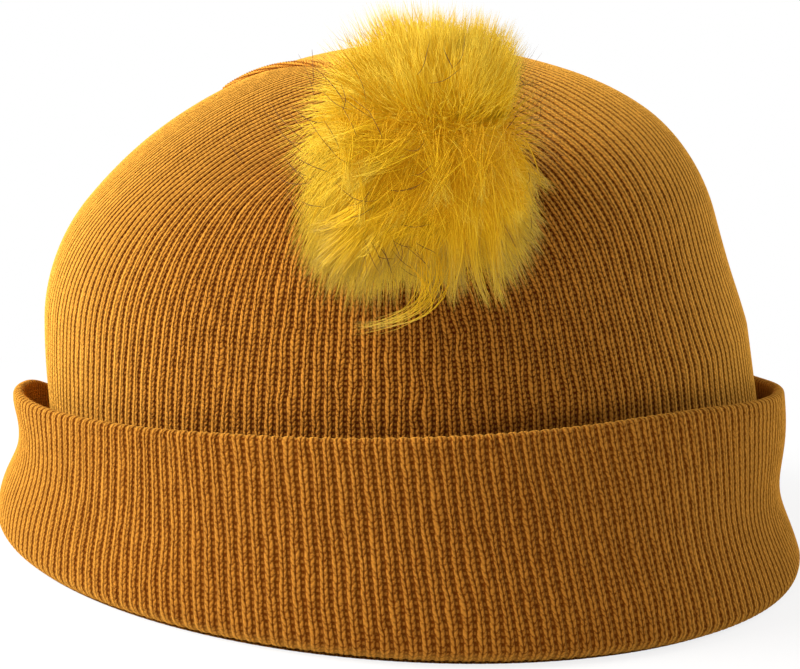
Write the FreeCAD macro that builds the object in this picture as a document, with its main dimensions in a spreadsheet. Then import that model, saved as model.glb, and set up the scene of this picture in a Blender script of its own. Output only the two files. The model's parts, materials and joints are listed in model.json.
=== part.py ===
import FreeCAD, Part
import math
import os

import Sketcher

# A knit beanie standing on its turned-up cuff, in millimetres and degrees.
# +Z is up, the wearer looks along -Y, and the origin is the middle of the base fold's underside.
# The crown has slumped towards -X on an axis of its own, and the cuff's rim leans the same way, but less.
SIZES = [
    # the crown's two plies and how they hang on their axis
    ("crown_lean_angle", 12.5),
    ("crown_axis_x", 5.6),
    ("skirt_radius", 86.5),
    ("skirt_height", 40.8),
    ("wall_tilt", 8.3),
    ("wall_length", 27.4),
    ("shoulder_radius", 43.5),
    ("top_radius", 104.0),
    ("shell_ply", 1.3),
    ("lining_ply", 1.1),
    ("ply_gap", 0.2),
    ("skirt_foot_gap", 0.3),
    # the turned-up cuff, which flares out from the skirt inside it
    ("cuff_base_flare", 13.5),
    ("cuff_rim_flare", 6.9),
    ("cuff_rim_height", 42.7),
    ("cuff_rim_x", 0.5),
    ("cuff_lean_angle", 4.64),
    ("cuff_face_ply", 1.3),
    ("cuff_back_ply", 1.1),
    ("base_fold_height", 3.2),
    ("base_fold_round", 2.2),
    ("base_fold_lap", 0.4),
    # the linked dart seams, which meet at the gathered point of the crown
    ("gather_angle", 27.3),
    ("gather_turn_angle", 13.0),
    ("seam_width", 1.6),
    ("seam_height", 1.1),
    ("seam_lift", 0.15),
    ("side_seam_angle", 152.0),
    ("side_seam_length", 70.0),
    ("front_seam_length", 42.0),
    # the fastening at the gathered point
    ("eyelet_radius", 4.2),
    ("gather_ring_width", 2.8),
    ("gather_ring_height", 1.1),
    ("washer_radius", 13.0),
    ("washer_height", 2.0),
    ("button_radius", 8.5),
    ("button_height", 2.4),
    ("button_dish", 0.8),
    ("button_rim_width", 1.8),
    ("button_hole_reach", 2.6),
    ("seat_gap", 0.3),
    ("loop_cord_radius", 1.2),
    ("loop_rise", 3.6),
    # the pom-pom on its tie
    ("pom_arm", 36.0),
    ("pom_ball_radius", 11.0),
    ("pom_lift", 2.0),
    ("pelt_ply", 1.4),
    ("mouth_radius", 4.0),
    ("mouth_disc_height", 1.2),
    ("tie_cord_radius", 1.0),
    ("tie_knot_radius", 1.8),
    ("tie_travel", 12.0),
    ("running_gap", 0.3),
    ("thread_radius", 0.5),
    ("fur_length", 14.0),
    ("fur_droop", 8.0),
    ("fur_sweep", 4.0),
    ("fur_tallness", 1.28),
]

doc = FreeCAD.newDocument("beanie")
sheet = doc.addObject("Spreadsheet::Sheet", "sizes")
for row, (alias, number) in enumerate(SIZES, start=1):
    sheet.set("A%d" % row, alias)
    sheet.set("B%d" % row, str(number))
    sheet.setAlias("B%d" % row, alias)
doc.recompute()
size = {alias: float(sheet.get(alias)) for alias, number in SIZES}

subparts = []


def subpart(feature, label):
    """Names a finished sub-part; the label is also its file's name."""
    feature.Label = label
    subparts.append(feature)
    return feature


# ---------------------------------------------------------------- frames

def moved(x=0.0, y=0.0, z=0.0):
    return FreeCAD.Placement(FreeCAD.Vector(x, y, z), FreeCAD.Rotation())


def spun(axis, degrees):
    return FreeCAD.Placement(FreeCAD.Vector(), FreeCAD.Rotation(FreeCAD.Vector(*axis), degrees))


# The dome's outline runs up the skirt, in along the tilted wall, round the shoulder and over the top.
# Both round stretches have centres fixed by tangency, so every ply keeps the same two centres.
tilt = math.radians(size["wall_tilt"])
shoulder_x = (size["skirt_radius"] - size["wall_length"] * math.sin(tilt)
              - size["shoulder_radius"] * math.cos(tilt))
shoulder_z = (size["skirt_height"] + size["wall_length"] * math.cos(tilt)
              - size["shoulder_radius"] * math.sin(tilt))
top_z = shoulder_z - math.sqrt((size["top_radius"] - size["shoulder_radius"]) ** 2 - shoulder_x ** 2)
shoulder_end = math.atan2(shoulder_z - top_z, shoulder_x)

crown_frame = moved(x=size["crown_axis_x"]) * spun((0, -1, 0), size["crown_lean_angle"])
rim_radius = size["skirt_radius"] + size["cuff_rim_flare"]
hem_thickness = size["cuff_face_ply"] + size["ply_gap"] + size["cuff_back_ply"]
wall_top_frame = (moved(x=size["cuff_rim_x"]) * spun((0, -1, 0), size["cuff_lean_angle"])
                  * moved(z=size["cuff_rim_height"] - hem_thickness / 2))

# The fastening's frame has its origin at the centre of the crown's top round, with +Z out through the
# gathered point, so whatever turns about that axis keeps its distance from the crown.
fastening_frame = (crown_frame * moved(z=top_z) * spun((0, 0, 1), size["gather_turn_angle"])
                   * spun((1, 0, 0), size["gather_angle"]))

# A flat disc on the fastening's axis touches the lining with its edge: all round where the lining is
# still the top round there, and at its lowest point where the shoulder has begun to curve down.
lining_depth = size["shell_ply"] + size["ply_gap"] + size["lining_ply"]
gather = math.radians(size["gather_angle"])
lining_top = size["top_radius"] - lining_depth
lining_touch = math.sqrt(lining_top ** 2 - size["washer_radius"] ** 2)
if gather + math.asin(size["washer_radius"] / lining_top) > math.pi / 2 - shoulder_end:
    shoulder_out = shoulder_x * math.cos(gather) - (shoulder_z - top_z) * math.sin(gather)
    shoulder_up = shoulder_x * math.sin(gather) + (shoulder_z - top_z) * math.cos(gather)
    lining_touch = shoulder_up + math.sqrt((size["shoulder_radius"] - lining_depth) ** 2
                                           - (size["washer_radius"] - shoulder_out) ** 2)
washer_frame = fastening_frame * moved(z=lining_touch - size["seat_gap"])
button_frame = washer_frame * moved(z=-size["washer_height"] - size["seat_gap"])

# The tie bends where it leaves the loop. The pom-pom's middle lies on a sphere round the same centre,
# which gives the angle between the fastening's axis and the tie.
pivot_radius = size["top_radius"] + size["loop_rise"]
pom_radius = size["top_radius"] + size["pom_lift"] + size["pom_ball_radius"]
arm_angle = math.degrees(math.acos((pom_radius ** 2 - pivot_radius ** 2 - size["pom_arm"] ** 2)
                                   / (2 * pivot_radius * size["pom_arm"])))
arm_frame = fastening_frame * moved(z=pivot_radius) * spun((1, 0, 0), arm_angle)


# ---------------------------------------------------------------- sketches and turned bodies

def new_sketch(body, name, role):
    sketch = body.newObject("Sketcher::SketchObject", name)
    plane = [feature for feature in body.Origin.OriginFeatures if feature.Role == role][0]
    sketch.AttachmentSupport = [(plane, "")]
    sketch.MapMode = "FlatFace"
    return sketch


def bind(sketch, constraint, expression):
    """Adds a constraint whose value follows an expression in the sheet's names."""
    index = sketch.addConstraint(constraint)
    sketch.setExpression("Constraints[%d]" % index, expression)


def total(names):
    """The sum of the named sizes; a name with a minus sign in front is taken off."""
    return sum(-size[name[1:]] if name.startswith("-") else size[name] for name in names)


def total_text(names):
    """The same sum as an expression."""
    terms = ["-sizes." + name[1:] if name.startswith("-") else "+sizes." + name for name in names]
    return "(0 %s)" % " ".join(terms)


def full_turn(body, kind, name, sketch):
    """A full turn of a sketch about the body's Z axis; kind is Revolution or Groove."""
    feature = body.newObject("PartDesign::" + kind, name)
    feature.Profile = sketch
    feature.ReferenceAxis = (sketch, ["V_Axis"])
    feature.Angle = 360
    return feature


def turned_body(name, corners, placement):
    """A body turned from one outline of straight lines; a corner is a radius and a height."""
    body = doc.addObject("PartDesign::Body", name)
    sketch = new_sketch(body, name + "_outline", "XZ_Plane")
    count = len(corners)
    # The lines start as a small many-sided loop beside the axis, and the constraints stretch it to size.
    turns = [2 * math.pi * index / count for index in range(count)]
    points = [FreeCAD.Vector(2 + math.cos(turn), math.sin(turn), 0) for turn in turns]
    for index in range(count):
        sketch.addGeometry(Part.LineSegment(points[index], points[(index + 1) % count]), False)
    for index in range(count):
        sketch.addConstraint(Sketcher.Constraint("Coincident", index, 2, (index + 1) % count, 1))
    for index, (radius, height) in enumerate(corners):
        bind(sketch, Sketcher.Constraint("DistanceX", -1, 1, index, 1, points[index].x), radius)
        bind(sketch, Sketcher.Constraint("DistanceY", -1, 1, index, 1, points[index].y), height)
    full_turn(body, "Revolution", name + "_turned", sketch)
    body.Placement = placement
    return body


def circle_sketch(body, name, offset, radius):
    """A circle on a plane offset in the body's frame, its radius following an expression."""
    sketch = new_sketch(body, name, "XY_Plane")
    sketch.AttachmentOffset = offset
    sketch.addGeometry(Part.Circle(FreeCAD.Vector(), FreeCAD.Vector(0, 0, 1), 1.0), False)
    sketch.addConstraint(Sketcher.Constraint("Coincident", 0, 3, -1, 1))
    bind(sketch, Sketcher.Constraint("Radius", 0, 1.0), radius)
    return sketch


# ---------------------------------------------------------------- primitives and booleans

def primitive(kind, name, placement, **sizes):
    """A Part primitive whose sizes follow expressions."""
    feature = doc.addObject("Part::" + kind, name)
    for prop, expression in sizes.items():
        feature.setExpression(prop, expression)
    feature.Placement = placement
    return feature


def cut(name, base, tools):
    """The base less each tool in turn."""
    for index, tool in enumerate(tools, start=1):
        feature = doc.addObject("Part::Cut", "%s_%d" % (name, index))
        feature.Base = base
        feature.Tool = tool
        base = feature
    return base


def fused(name, shapes):
    feature = doc.addObject("Part::MultiFuse", name)
    feature.Shapes = shapes
    return feature


# ---------------------------------------------------------------- the cuff

def cuff_wall(name, label, inset, ply):
    """One ply of the cuff: a ruled wall from the level base circle up to the leaning rim circle."""
    body = doc.addObject("PartDesign::Body", name)
    base_plane = moved(z=size["base_fold_height"])
    for kind, depth in (("AdditiveLoft", inset), ("SubtractiveLoft", inset + [ply])):
        lower = circle_sketch(body, "%s_%s_base" % (name, kind), base_plane,
                              "sizes.skirt_radius + sizes.cuff_base_flare - " + total_text(depth))
        upper = circle_sketch(body, "%s_%s_rim" % (name, kind), wall_top_frame,
                              "sizes.skirt_radius + sizes.cuff_rim_flare - " + total_text(depth))
        wall = body.newObject("PartDesign::" + kind, "%s_%s" % (name, kind))
        wall.Profile = lower
        wall.Sections = [upper]
        wall.Ruled = True
    return subpart(body, label)


def cuff_hem_fold():
    """The rounded fold along the cuff's free edge, where its two plies turn into each other."""
    body = doc.addObject("PartDesign::Body", "HemFold")
    sketch = new_sketch(body, "HemFold_outline", "XZ_Plane")
    half = hem_thickness / 2
    half_text = "(sizes.cuff_face_ply + sizes.ply_gap + sizes.cuff_back_ply) / 2"
    middle = FreeCAD.Vector(rim_radius - half, 0, 0)
    across = FreeCAD.Vector(half, 0, 0)
    cap = Part.Circle(middle, FreeCAD.Vector(0, 0, 1), half)
    sketch.addGeometry(Part.ArcOfCircle(cap, 0, math.pi), False)
    sketch.addGeometry(Part.LineSegment(middle - across, middle + across), False)
    sketch.addConstraint(Sketcher.Constraint("Coincident", 0, 2, 1, 1))
    sketch.addConstraint(Sketcher.Constraint("Coincident", 1, 2, 0, 1))
    sketch.addConstraint(Sketcher.Constraint("PointOnObject", 0, 3, -1))
    sketch.addConstraint(Sketcher.Constraint("PointOnObject", 0, 1, -1))
    bind(sketch, Sketcher.Constraint("Radius", 0, half), half_text)
    bind(sketch, Sketcher.Constraint("DistanceX", -1, 1, 0, 3, middle.x),
         "sizes.skirt_radius + sizes.cuff_rim_flare - " + half_text)
    full_turn(body, "Revolution", "HemFold_turned", sketch)
    body.Placement = wall_top_frame
    return subpart(body, "cuff_hem_fold")


def cuff_base_fold():
    """The fold that the hat stands on: it laps under both plies of the cuff and both of the skirt."""
    body = doc.addObject("PartDesign::Body", "BaseFold")
    ring = body.newObject("PartDesign::Pad", "BaseFold_ring")
    ring.Profile = circle_sketch(body, "BaseFold_outer", moved(), "sizes.skirt_radius + sizes.cuff_base_flare")
    ring.setExpression("Length", "sizes.base_fold_height")
    lining_inset = total_text(["shell_ply", "ply_gap", "lining_ply", "base_fold_lap"])
    opening = body.newObject("PartDesign::Pocket", "BaseFold_opening")
    opening.Profile = circle_sketch(body, "BaseFold_inner", moved(x=size["crown_axis_x"]),
                                    "sizes.skirt_radius - " + lining_inset)
    opening.Reversed = True
    opening.setExpression("Length", "sizes.base_fold_height")
    doc.recompute()
    lower_edges = []
    for index, edge in enumerate(opening.Shape.Edges, start=1):
        if edge.Closed and edge.BoundBox.ZMax < size["base_fold_height"] / 2:
            lower_edges.append("Edge%d" % index)
    rounding = body.newObject("PartDesign::Fillet", "BaseFold_rounding")
    rounding.Base = (opening, lower_edges)
    # A fold can't be rounder than its own height, nor than half of its narrowest width.
    narrowest = "(sizes.cuff_base_flare + %s - abs(sizes.crown_axis_x))" % lining_inset
    rounding.setExpression("Radius", "min(sizes.base_fold_round; 0.9 * sizes.base_fold_height; 0.45 * %s)"
                           % narrowest)
    return subpart(body, "cuff_base_fold")


# ---------------------------------------------------------------- the crown

def dome_sketch(body, name, inset):
    """The dome's outline, set in from the shell's outer face by the named sizes and closed on the axis."""
    sketch = new_sketch(body, name, "XZ_Plane")
    depth = total(inset)
    wall = size["wall_length"] - depth * math.tan(tilt / 2)
    corner = FreeCAD.Vector(size["skirt_radius"] - depth,
                            size["skirt_height"] - depth * math.tan(tilt / 2), 0)
    foot = FreeCAD.Vector(corner.x, -size["skirt_height"], 0)
    axis_foot = FreeCAD.Vector(0, foot.y, 0)
    wall_end = corner + FreeCAD.Vector(-math.sin(tilt), math.cos(tilt), 0) * wall
    facing = FreeCAD.Vector(0, 0, 1)
    shoulder = Part.Circle(FreeCAD.Vector(shoulder_x, shoulder_z, 0), facing, size["shoulder_radius"] - depth)
    top = Part.Circle(FreeCAD.Vector(0, top_z, 0), facing, size["top_radius"] - depth)
    apex = FreeCAD.Vector(0, top_z + top.Radius, 0)
    for piece in (Part.LineSegment(axis_foot, foot),
                  Part.LineSegment(foot, corner),
                  Part.LineSegment(corner, wall_end),
                  Part.ArcOfCircle(shoulder, tilt, shoulder_end),
                  Part.ArcOfCircle(top, shoulder_end, math.pi / 2),
                  Part.LineSegment(apex, axis_foot)):
        sketch.addGeometry(piece, False)
    for fixed in (("Coincident", 0, 2, 1, 1), ("Coincident", 1, 2, 2, 1), ("Tangent", 2, 2, 3, 1),
                  ("Tangent", 3, 2, 4, 1), ("Coincident", 4, 2, 5, 1), ("Coincident", 5, 2, 0, 1),
                  ("Horizontal", 0), ("Vertical", 1), ("PointOnObject", 0, 1, -2),
                  ("PointOnObject", 4, 2, -2), ("PointOnObject", 4, 3, -2)):
        sketch.addConstraint(Sketcher.Constraint(*fixed))
    depth_text = total_text(inset)
    half_tilt = "tan(sizes.wall_tilt / 2 * 1deg)"
    wall_text = "(sizes.wall_length - %s * %s)" % (depth_text, half_tilt)
    bind(sketch, Sketcher.Constraint("DistanceY", -1, 1, 0, 1, foot.y), "-sizes.skirt_height")
    bind(sketch, Sketcher.Constraint("DistanceX", -1, 1, 1, 2, corner.x), "sizes.skirt_radius - " + depth_text)
    bind(sketch, Sketcher.Constraint("DistanceY", -1, 1, 1, 2, corner.y),
         "sizes.skirt_height - %s * %s" % (depth_text, half_tilt))
    bind(sketch, Sketcher.Constraint("DistanceY", 2, 1, 2, 2, wall * math.cos(tilt)),
         wall_text + " * cos(sizes.wall_tilt * 1deg)")
    bind(sketch, Sketcher.Constraint("DistanceX", 2, 2, 2, 1, wall * math.sin(tilt)),
         wall_text + " * sin(sizes.wall_tilt * 1deg)")
    bind(sketch, Sketcher.Constraint("Radius", 3, shoulder.Radius), "sizes.shoulder_radius - " + depth_text)
    bind(sketch, Sketcher.Constraint("Radius", 4, top.Radius), "sizes.top_radius - " + depth_text)
    return sketch


def dome_layer(name, outer_inset, inner_inset):
    """A hollow dome between two insets, whole over the top and untrimmed at its foot."""
    body = doc.addObject("PartDesign::Body", name)
    full_turn(body, "Revolution", name + "_outside", dome_sketch(body, name + "_outer_line", outer_inset))
    full_turn(body, "Groove", name + "_inside", dome_sketch(body, name + "_inner_line", inner_inset))
    body.Placement = crown_frame
    return body


def crown_ply(name, label, outer_inset, inner_inset):
    """A dome layer trimmed level above the base fold and holed at the gathered point."""
    side = size["skirt_radius"] * 1.5
    foot = size["base_fold_height"] + size["skirt_foot_gap"]
    below = primitive("Box", name + "_below", moved(-side, -side, foot - size["skirt_height"] * 2),
                      Length="sizes.skirt_radius * 3", Width="sizes.skirt_radius * 3",
                      Height="sizes.skirt_height * 2")
    eyelet = primitive("Cylinder", name + "_eyelet", fastening_frame * moved(z=size["top_radius"] / 2),
                       Radius="sizes.eyelet_radius", Height="sizes.top_radius")
    layer = dome_layer(name, outer_inset, inner_inset)
    return subpart(cut(name + "_trimmed", layer, [below, eyelet]), label)


def dart_strip(name, outer_inset, inner_inset, seam_turn, start, length):
    """A narrow strip of a dome layer, running out from the gathered point along one dart."""
    layer = dome_layer(name + "_layer", outer_inset, inner_inset)
    slab_frame = (fastening_frame * spun((0, 0, 1), seam_turn)
                  * moved(-size["seam_width"] / 2, -size[length], size["top_radius"] / 4))
    slab = primitive("Box", name + "_slab", slab_frame, Length="sizes.seam_width",
                     Width="sizes.%s - %s" % (length, start), Height="sizes.top_radius")
    strip = doc.addObject("Part::Common", name)
    strip.Base = layer
    strip.Tool = slab
    return strip


DARTS = [
    ("front", 0.0, "front_seam_length"),
    ("right", size["side_seam_angle"], "side_seam_length"),
    ("left", -size["side_seam_angle"], "side_seam_length"),
]


def crown_seams():
    """The raised linking seams of the three darts, on the outside of the shell."""
    start = "(sizes.eyelet_radius + sizes.gather_ring_width + 2 * sizes.seat_gap)"
    for side, seam_turn, length in DARTS:
        strip = dart_strip("Seam_" + side, ["-seam_lift", "-seam_height"], ["-seam_lift"],
                           seam_turn, start, length)
        subpart(strip, "crown_seam_" + side)


def lining_seams():
    """The same three darts seamed on the inside of the lining, clear of the washer."""
    plies = ["shell_ply", "ply_gap", "lining_ply"]
    start = "(sizes.washer_radius + sizes.seat_gap)"
    strips = []
    for side, seam_turn, length in DARTS:
        strips.append(dart_strip("LiningSeam_" + side, plies + ["seam_lift"],
                                 plies + ["seam_lift", "seam_height"], seam_turn, start, length))
    group = doc.addObject("Part::Compound", "LiningSeams")
    group.Links = strips
    return subpart(group, "lining_dart_seams")


# ---------------------------------------------------------------- the fastening at the gathered point

def flat_ring(name, label, frame, inner, outer, low, high):
    """A flat ring about a frame's axis, from expressions."""
    corners = [(inner, low), (outer, low), (outer, high), (inner, high)]
    return subpart(turned_body(name, corners, frame), label)


def gather_ring():
    """The overcast ring of thread that draws the darts together round the eyelet."""
    low = "(sizes.top_radius + sizes.seam_lift)"
    return flat_ring("GatherRing", "crown_gather_ring", fastening_frame, "sizes.eyelet_radius",
                     "sizes.eyelet_radius + sizes.gather_ring_width", low, low + " + sizes.gather_ring_height")


def felt_washer():
    """The felt patch that spreads the button's pull under the lining."""
    return flat_ring("Washer", "felt_washer", washer_frame, "sizes.eyelet_radius", "sizes.washer_radius",
                     "-sizes.washer_height", "0")


def anchor_button():
    """The two-hole button that the loop is hooked round, with a raised rim on its inner side."""
    dish = "sizes.button_dish - sizes.button_height"
    corners = [
        ("0", dish),
        ("sizes.button_radius - sizes.button_rim_width", dish),
        ("sizes.button_radius - sizes.button_rim_width", "-sizes.button_height"),
        ("sizes.button_radius", "-sizes.button_height"),
        ("sizes.button_radius", "0"),
        ("0", "0"),
    ]
    blank = turned_body("Button", corners, button_frame)
    holes = []
    for side in (-1, 1):
        place = button_frame * moved(x=side * size["button_hole_reach"], z=-2 * size["button_height"])
        holes.append(primitive("Cylinder", "Button_hole_%d" % (side + 2), place,
                               Radius="sizes.loop_cord_radius + sizes.running_gap",
                               Height="sizes.button_height * 3"))
    return subpart(cut("Button_drilled", blank, holes), "anchor_button")


def pom_loop():
    """The elastic loop: up through one button hole, over at the pivot and down through the other."""
    reach = size["button_hole_reach"]
    arch_z = pivot_radius - reach
    bight_z = (lining_touch - 2 * size["seat_gap"] - size["washer_height"] - size["button_height"]
               - size["loop_cord_radius"])
    pieces = []
    for side in (-1, 1):
        place = fastening_frame * moved(x=side * reach, z=bight_z)
        strand = primitive("Cylinder", "Loop_strand_%d" % (side + 2), place,
                           Radius="sizes.loop_cord_radius")
        strand.Height = arch_z - bight_z
        pieces.append(strand)
    for name, height, flip in (("arch", arch_z, 90), ("bight", bight_z, -90)):
        place = fastening_frame * moved(z=height) * spun((1, 0, 0), flip)
        half_ring = primitive("Torus", "Loop_" + name, place, Radius1="sizes.button_hole_reach",
                              Radius2="sizes.loop_cord_radius")
        half_ring.Angle3 = 180
        pieces.append(half_ring)
    return subpart(fused("Loop", pieces), "pom_loop")


# ---------------------------------------------------------------- the pom-pom, along its tie

# Heights here are distances from the pivot along the tie. The mouth is where the pelt is drawn together
# round the tie, on the side of the ball that faces the pivot.
MOUTH = "(sizes.pom_arm - sqrt(sizes.pom_ball_radius ^ 2 - sizes.mouth_radius ^ 2))"
DISC_TOP = "(%s + sizes.mouth_disc_height)" % MOUTH

mouth = size["pom_arm"] - math.sqrt(size["pom_ball_radius"] ** 2 - size["mouth_radius"] ** 2)
disc_top = mouth + size["mouth_disc_height"]
knot_height = disc_top + size["running_gap"] + size["tie_travel"] + size["tie_knot_radius"]
tie_start = size["loop_cord_radius"] + size["running_gap"]
ball_frame = arm_frame * moved(z=size["pom_arm"])


def pom_tie():
    """The elastic tie: it bends at the loop and ends in a knot that slides inside the pom-pom."""
    cord = primitive("Cylinder", "Tie_cord", arm_frame * moved(z=tie_start), Radius="sizes.tie_cord_radius")
    cord.Height = knot_height - tie_start
    knot = primitive("Sphere", "Tie_knot", arm_frame * moved(z=knot_height), Radius="sizes.tie_knot_radius")
    return subpart(fused("Tie", [cord, knot]), "pom_tie")


def pom_mouth_disc():
    """The stiff disc in the pelt's mouth, which stops the knot when the pom-pom is pulled out."""
    corners = [
        ("sizes.tie_cord_radius + sizes.running_gap", MOUTH),
        ("sizes.mouth_radius - sizes.ply_gap", MOUTH),
        ("sizes.mouth_radius - sizes.ply_gap", DISC_TOP),
        ("sizes.tie_cord_radius + sizes.running_gap", DISC_TOP),
    ]
    return subpart(turned_body("MouthDisc", corners, arm_frame), "pom_mouth_disc")


def pom_filling():
    """The wadding ball inside the pelt, with the knot's way left open and its foot flat on the disc."""
    ball = primitive("Sphere", "Filling_ball", ball_frame,
                     Radius="sizes.pom_ball_radius - sizes.pelt_ply - sizes.ply_gap")
    bore = primitive("Cylinder", "Filling_bore", arm_frame,
                     Radius="sizes.tie_knot_radius + sizes.running_gap")
    bore.Height = knot_height + size["tie_knot_radius"] + size["running_gap"]
    foot = primitive("Cylinder", "Filling_foot", arm_frame, Radius="sizes.pom_ball_radius")
    foot.Height = disc_top + size["ply_gap"]
    return subpart(cut("Filling", ball, [bore, foot]), "pom_filling")


def pom_pelt():
    """The pelt's backing, stretched round the wadding and open at its mouth."""
    skin = primitive("Sphere", "Pelt_skin", ball_frame, Radius="sizes.pom_ball_radius")
    hollow = primitive("Sphere", "Pelt_hollow", ball_frame,
                       Radius="sizes.pom_ball_radius - sizes.pelt_ply")
    opening = primitive("Cylinder", "Pelt_opening", arm_frame, Radius="sizes.mouth_radius",
                        Height="sizes.pom_arm")
    return subpart(cut("Pelt", skin, [hollow, opening]), "pom_pelt")


def thread_height(radius):
    """Where a ring of thread of the given radius lies on the pelt, just off its face."""
    off_centre = size["pom_ball_radius"] + size["thread_radius"] + size["seam_lift"]
    return size["pom_arm"] - math.sqrt(off_centre ** 2 - radius ** 2)


def pom_gather_thread():
    """The drawstring of thread that closes the pelt round its mouth."""
    radius = size["mouth_radius"] + 2 * size["thread_radius"]
    ring = primitive("Torus", "GatherThread", arm_frame * moved(z=thread_height(radius)),
                     Radius1="sizes.mouth_radius + 2 * sizes.thread_radius", Radius2="sizes.thread_radius")
    return subpart(ring, "pom_gather_thread")


def pom_fur():
    """The pile as one soft volume: it lies flat on the crown, droops below the ball and parts at the tie."""
    pile = primitive("Ellipsoid", "Fur_pile", ball_frame * moved(-size["fur_sweep"], -size["fur_droop"]),
                     Radius1="sizes.pom_ball_radius + sizes.fur_length",
                     Radius2="sizes.pom_ball_radius + sizes.fur_length",
                     Radius3="(sizes.pom_ball_radius + sizes.fur_length) * sizes.fur_tallness")
    hollow = primitive("Sphere", "Fur_hollow", ball_frame, Radius="sizes.pom_ball_radius + sizes.running_gap")
    crown = primitive("Sphere", "Fur_crown", fastening_frame,
                      Radius="sizes.top_radius + sizes.seam_lift + sizes.seam_height + sizes.running_gap")
    parting = primitive("Cylinder", "Fur_parting", arm_frame,
                        Radius="sizes.mouth_radius + 3 * sizes.thread_radius + sizes.running_gap",
                        Height="sizes.pom_arm")
    return subpart(cut("Fur", pile, [parting, hollow, crown]), "pom_fur")


# ---------------------------------------------------------------- the whole hat

cuff_wall("FacePly", "cuff_face", [], "cuff_face_ply")
cuff_wall("BackPly", "cuff_backing", ["cuff_face_ply", "ply_gap"], "cuff_back_ply")
cuff_hem_fold()
cuff_base_fold()
crown_ply("Shell", "crown_shell", [], ["shell_ply"])
crown_ply("Lining", "crown_lining", ["shell_ply", "ply_gap"], ["shell_ply", "ply_gap", "lining_ply"])
crown_seams()
lining_seams()
gather_ring()
felt_washer()
anchor_button()
pom_loop()
pom_tie()
pom_mouth_disc()
pom_filling()
pom_pelt()
pom_gather_thread()
pom_fur()
doc.recompute()

for feature in doc.Objects:
    if "Invalid" in feature.State or "Error" in feature.State:
        raise RuntimeError("%s failed: %s" % (feature.Name, feature.State))
for feature in subparts:
    if feature.Shape.isNull() or not feature.Shape.isValid() or not feature.Shape.Solids:
        raise RuntimeError("%s has no valid solid" % feature.Label)

os.makedirs("parts", exist_ok=True)
for feature in subparts:
    feature.Shape.exportStep("parts/%s.step" % feature.Label)
    box = feature.Shape.BoundBox
    print("%-20s %d solids %10.1f mm3  x %.1f..%.1f y %.1f..%.1f z %.1f..%.1f"
          % (feature.Label, len(feature.Shape.Solids), feature.Shape.Volume,
             box.XMin, box.XMax, box.YMin, box.YMax, box.ZMin, box.ZMax))

pivot = arm_frame.Base
print("slide axis", crown_frame.Rotation.multVec(FreeCAD.Vector(0, 0, 1)))
print("fastening axis", fastening_frame.Rotation.multVec(FreeCAD.Vector(0, 0, 1)))
print("pivot", pivot)
print("lean axis", arm_frame.Rotation.multVec(FreeCAD.Vector(-1, 0, 0)), "arm angle", arm_angle)
print("tie axis", arm_frame.Rotation.multVec(FreeCAD.Vector(0, 0, 1)))
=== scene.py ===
# %% [markdown]
# # A knit beanie with a faux-fur pom-pom
# The hat stands on its turned-up cuff. Its construction model is loaded first as a fixed frame of named
# bodies and joints, and every piece made here is laid on that frame. Blender works in metres; hatters
# work in millimetres, so lengths are written in millimetres here and mm turns them into metres.

# %% Load the construction model
import json
import math

import bpy
import numpy as np
from mathutils import Matrix, Vector


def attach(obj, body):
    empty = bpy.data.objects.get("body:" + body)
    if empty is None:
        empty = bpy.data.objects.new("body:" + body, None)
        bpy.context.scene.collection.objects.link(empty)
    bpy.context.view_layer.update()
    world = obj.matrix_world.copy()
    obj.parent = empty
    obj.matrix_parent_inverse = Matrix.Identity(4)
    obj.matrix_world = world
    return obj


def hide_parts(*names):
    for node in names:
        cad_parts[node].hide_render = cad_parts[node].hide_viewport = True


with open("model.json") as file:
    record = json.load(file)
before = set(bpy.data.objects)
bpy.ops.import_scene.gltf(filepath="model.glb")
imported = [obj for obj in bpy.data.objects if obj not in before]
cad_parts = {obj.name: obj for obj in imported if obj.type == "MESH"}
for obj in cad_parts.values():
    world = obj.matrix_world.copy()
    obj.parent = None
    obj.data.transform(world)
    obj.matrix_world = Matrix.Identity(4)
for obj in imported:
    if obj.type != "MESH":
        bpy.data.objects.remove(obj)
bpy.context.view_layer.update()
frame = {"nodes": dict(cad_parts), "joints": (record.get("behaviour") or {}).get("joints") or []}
joints = {joint["name"]: joint for joint in frame["joints"]}
mm = 0.001

# %% [markdown]
# ## Where the camera stands
# A hat on a shelf is looked at from a little above, so that its cuff and the slope of its crown both
# show. The camera is aimed at a point on the hat's middle line and tipped a few degrees, as one held by
# hand is. It could be placed by hand in the viewport; a matrix built from three directions says exactly
# where it looks, and can be read again later.

# %% Camera
def deg(angle):
    return math.radians(angle)


look_at = Vector((-3.20, 0.0, 47.26)) * mm
camera_distance = 400 * mm
camera_height, camera_side, camera_tip = deg(9.749), deg(-0.458), deg(3.66)
forward = Vector((math.sin(camera_side) * math.cos(camera_height),
                  math.cos(camera_side) * math.cos(camera_height), -math.sin(camera_height)))
level = Vector((math.cos(camera_side), -math.sin(camera_side), 0.0))
upward = level.cross(forward)
right_edge = level * math.cos(camera_tip) + upward * math.sin(camera_tip)
top_edge = upward * math.cos(camera_tip) - level * math.sin(camera_tip)
camera_data = bpy.data.cameras.new("camera")
camera_data.lens, camera_data.sensor_width = 71.6, 36.0
camera_data.clip_start, camera_data.clip_end = 0.01, 20.0
camera = bpy.data.objects.new("camera", camera_data)
bpy.context.scene.collection.objects.link(camera)
turn = Matrix((right_edge, top_edge, -forward)).transposed().to_4x4()
camera.matrix_world = Matrix.Translation(look_at - forward * camera_distance) @ turn
bpy.context.scene.camera = camera
bpy.context.scene.view_settings.view_transform = "Standard"
print("camera at %s mm" % [round(c / mm) for c in camera.matrix_world.translation])

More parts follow.
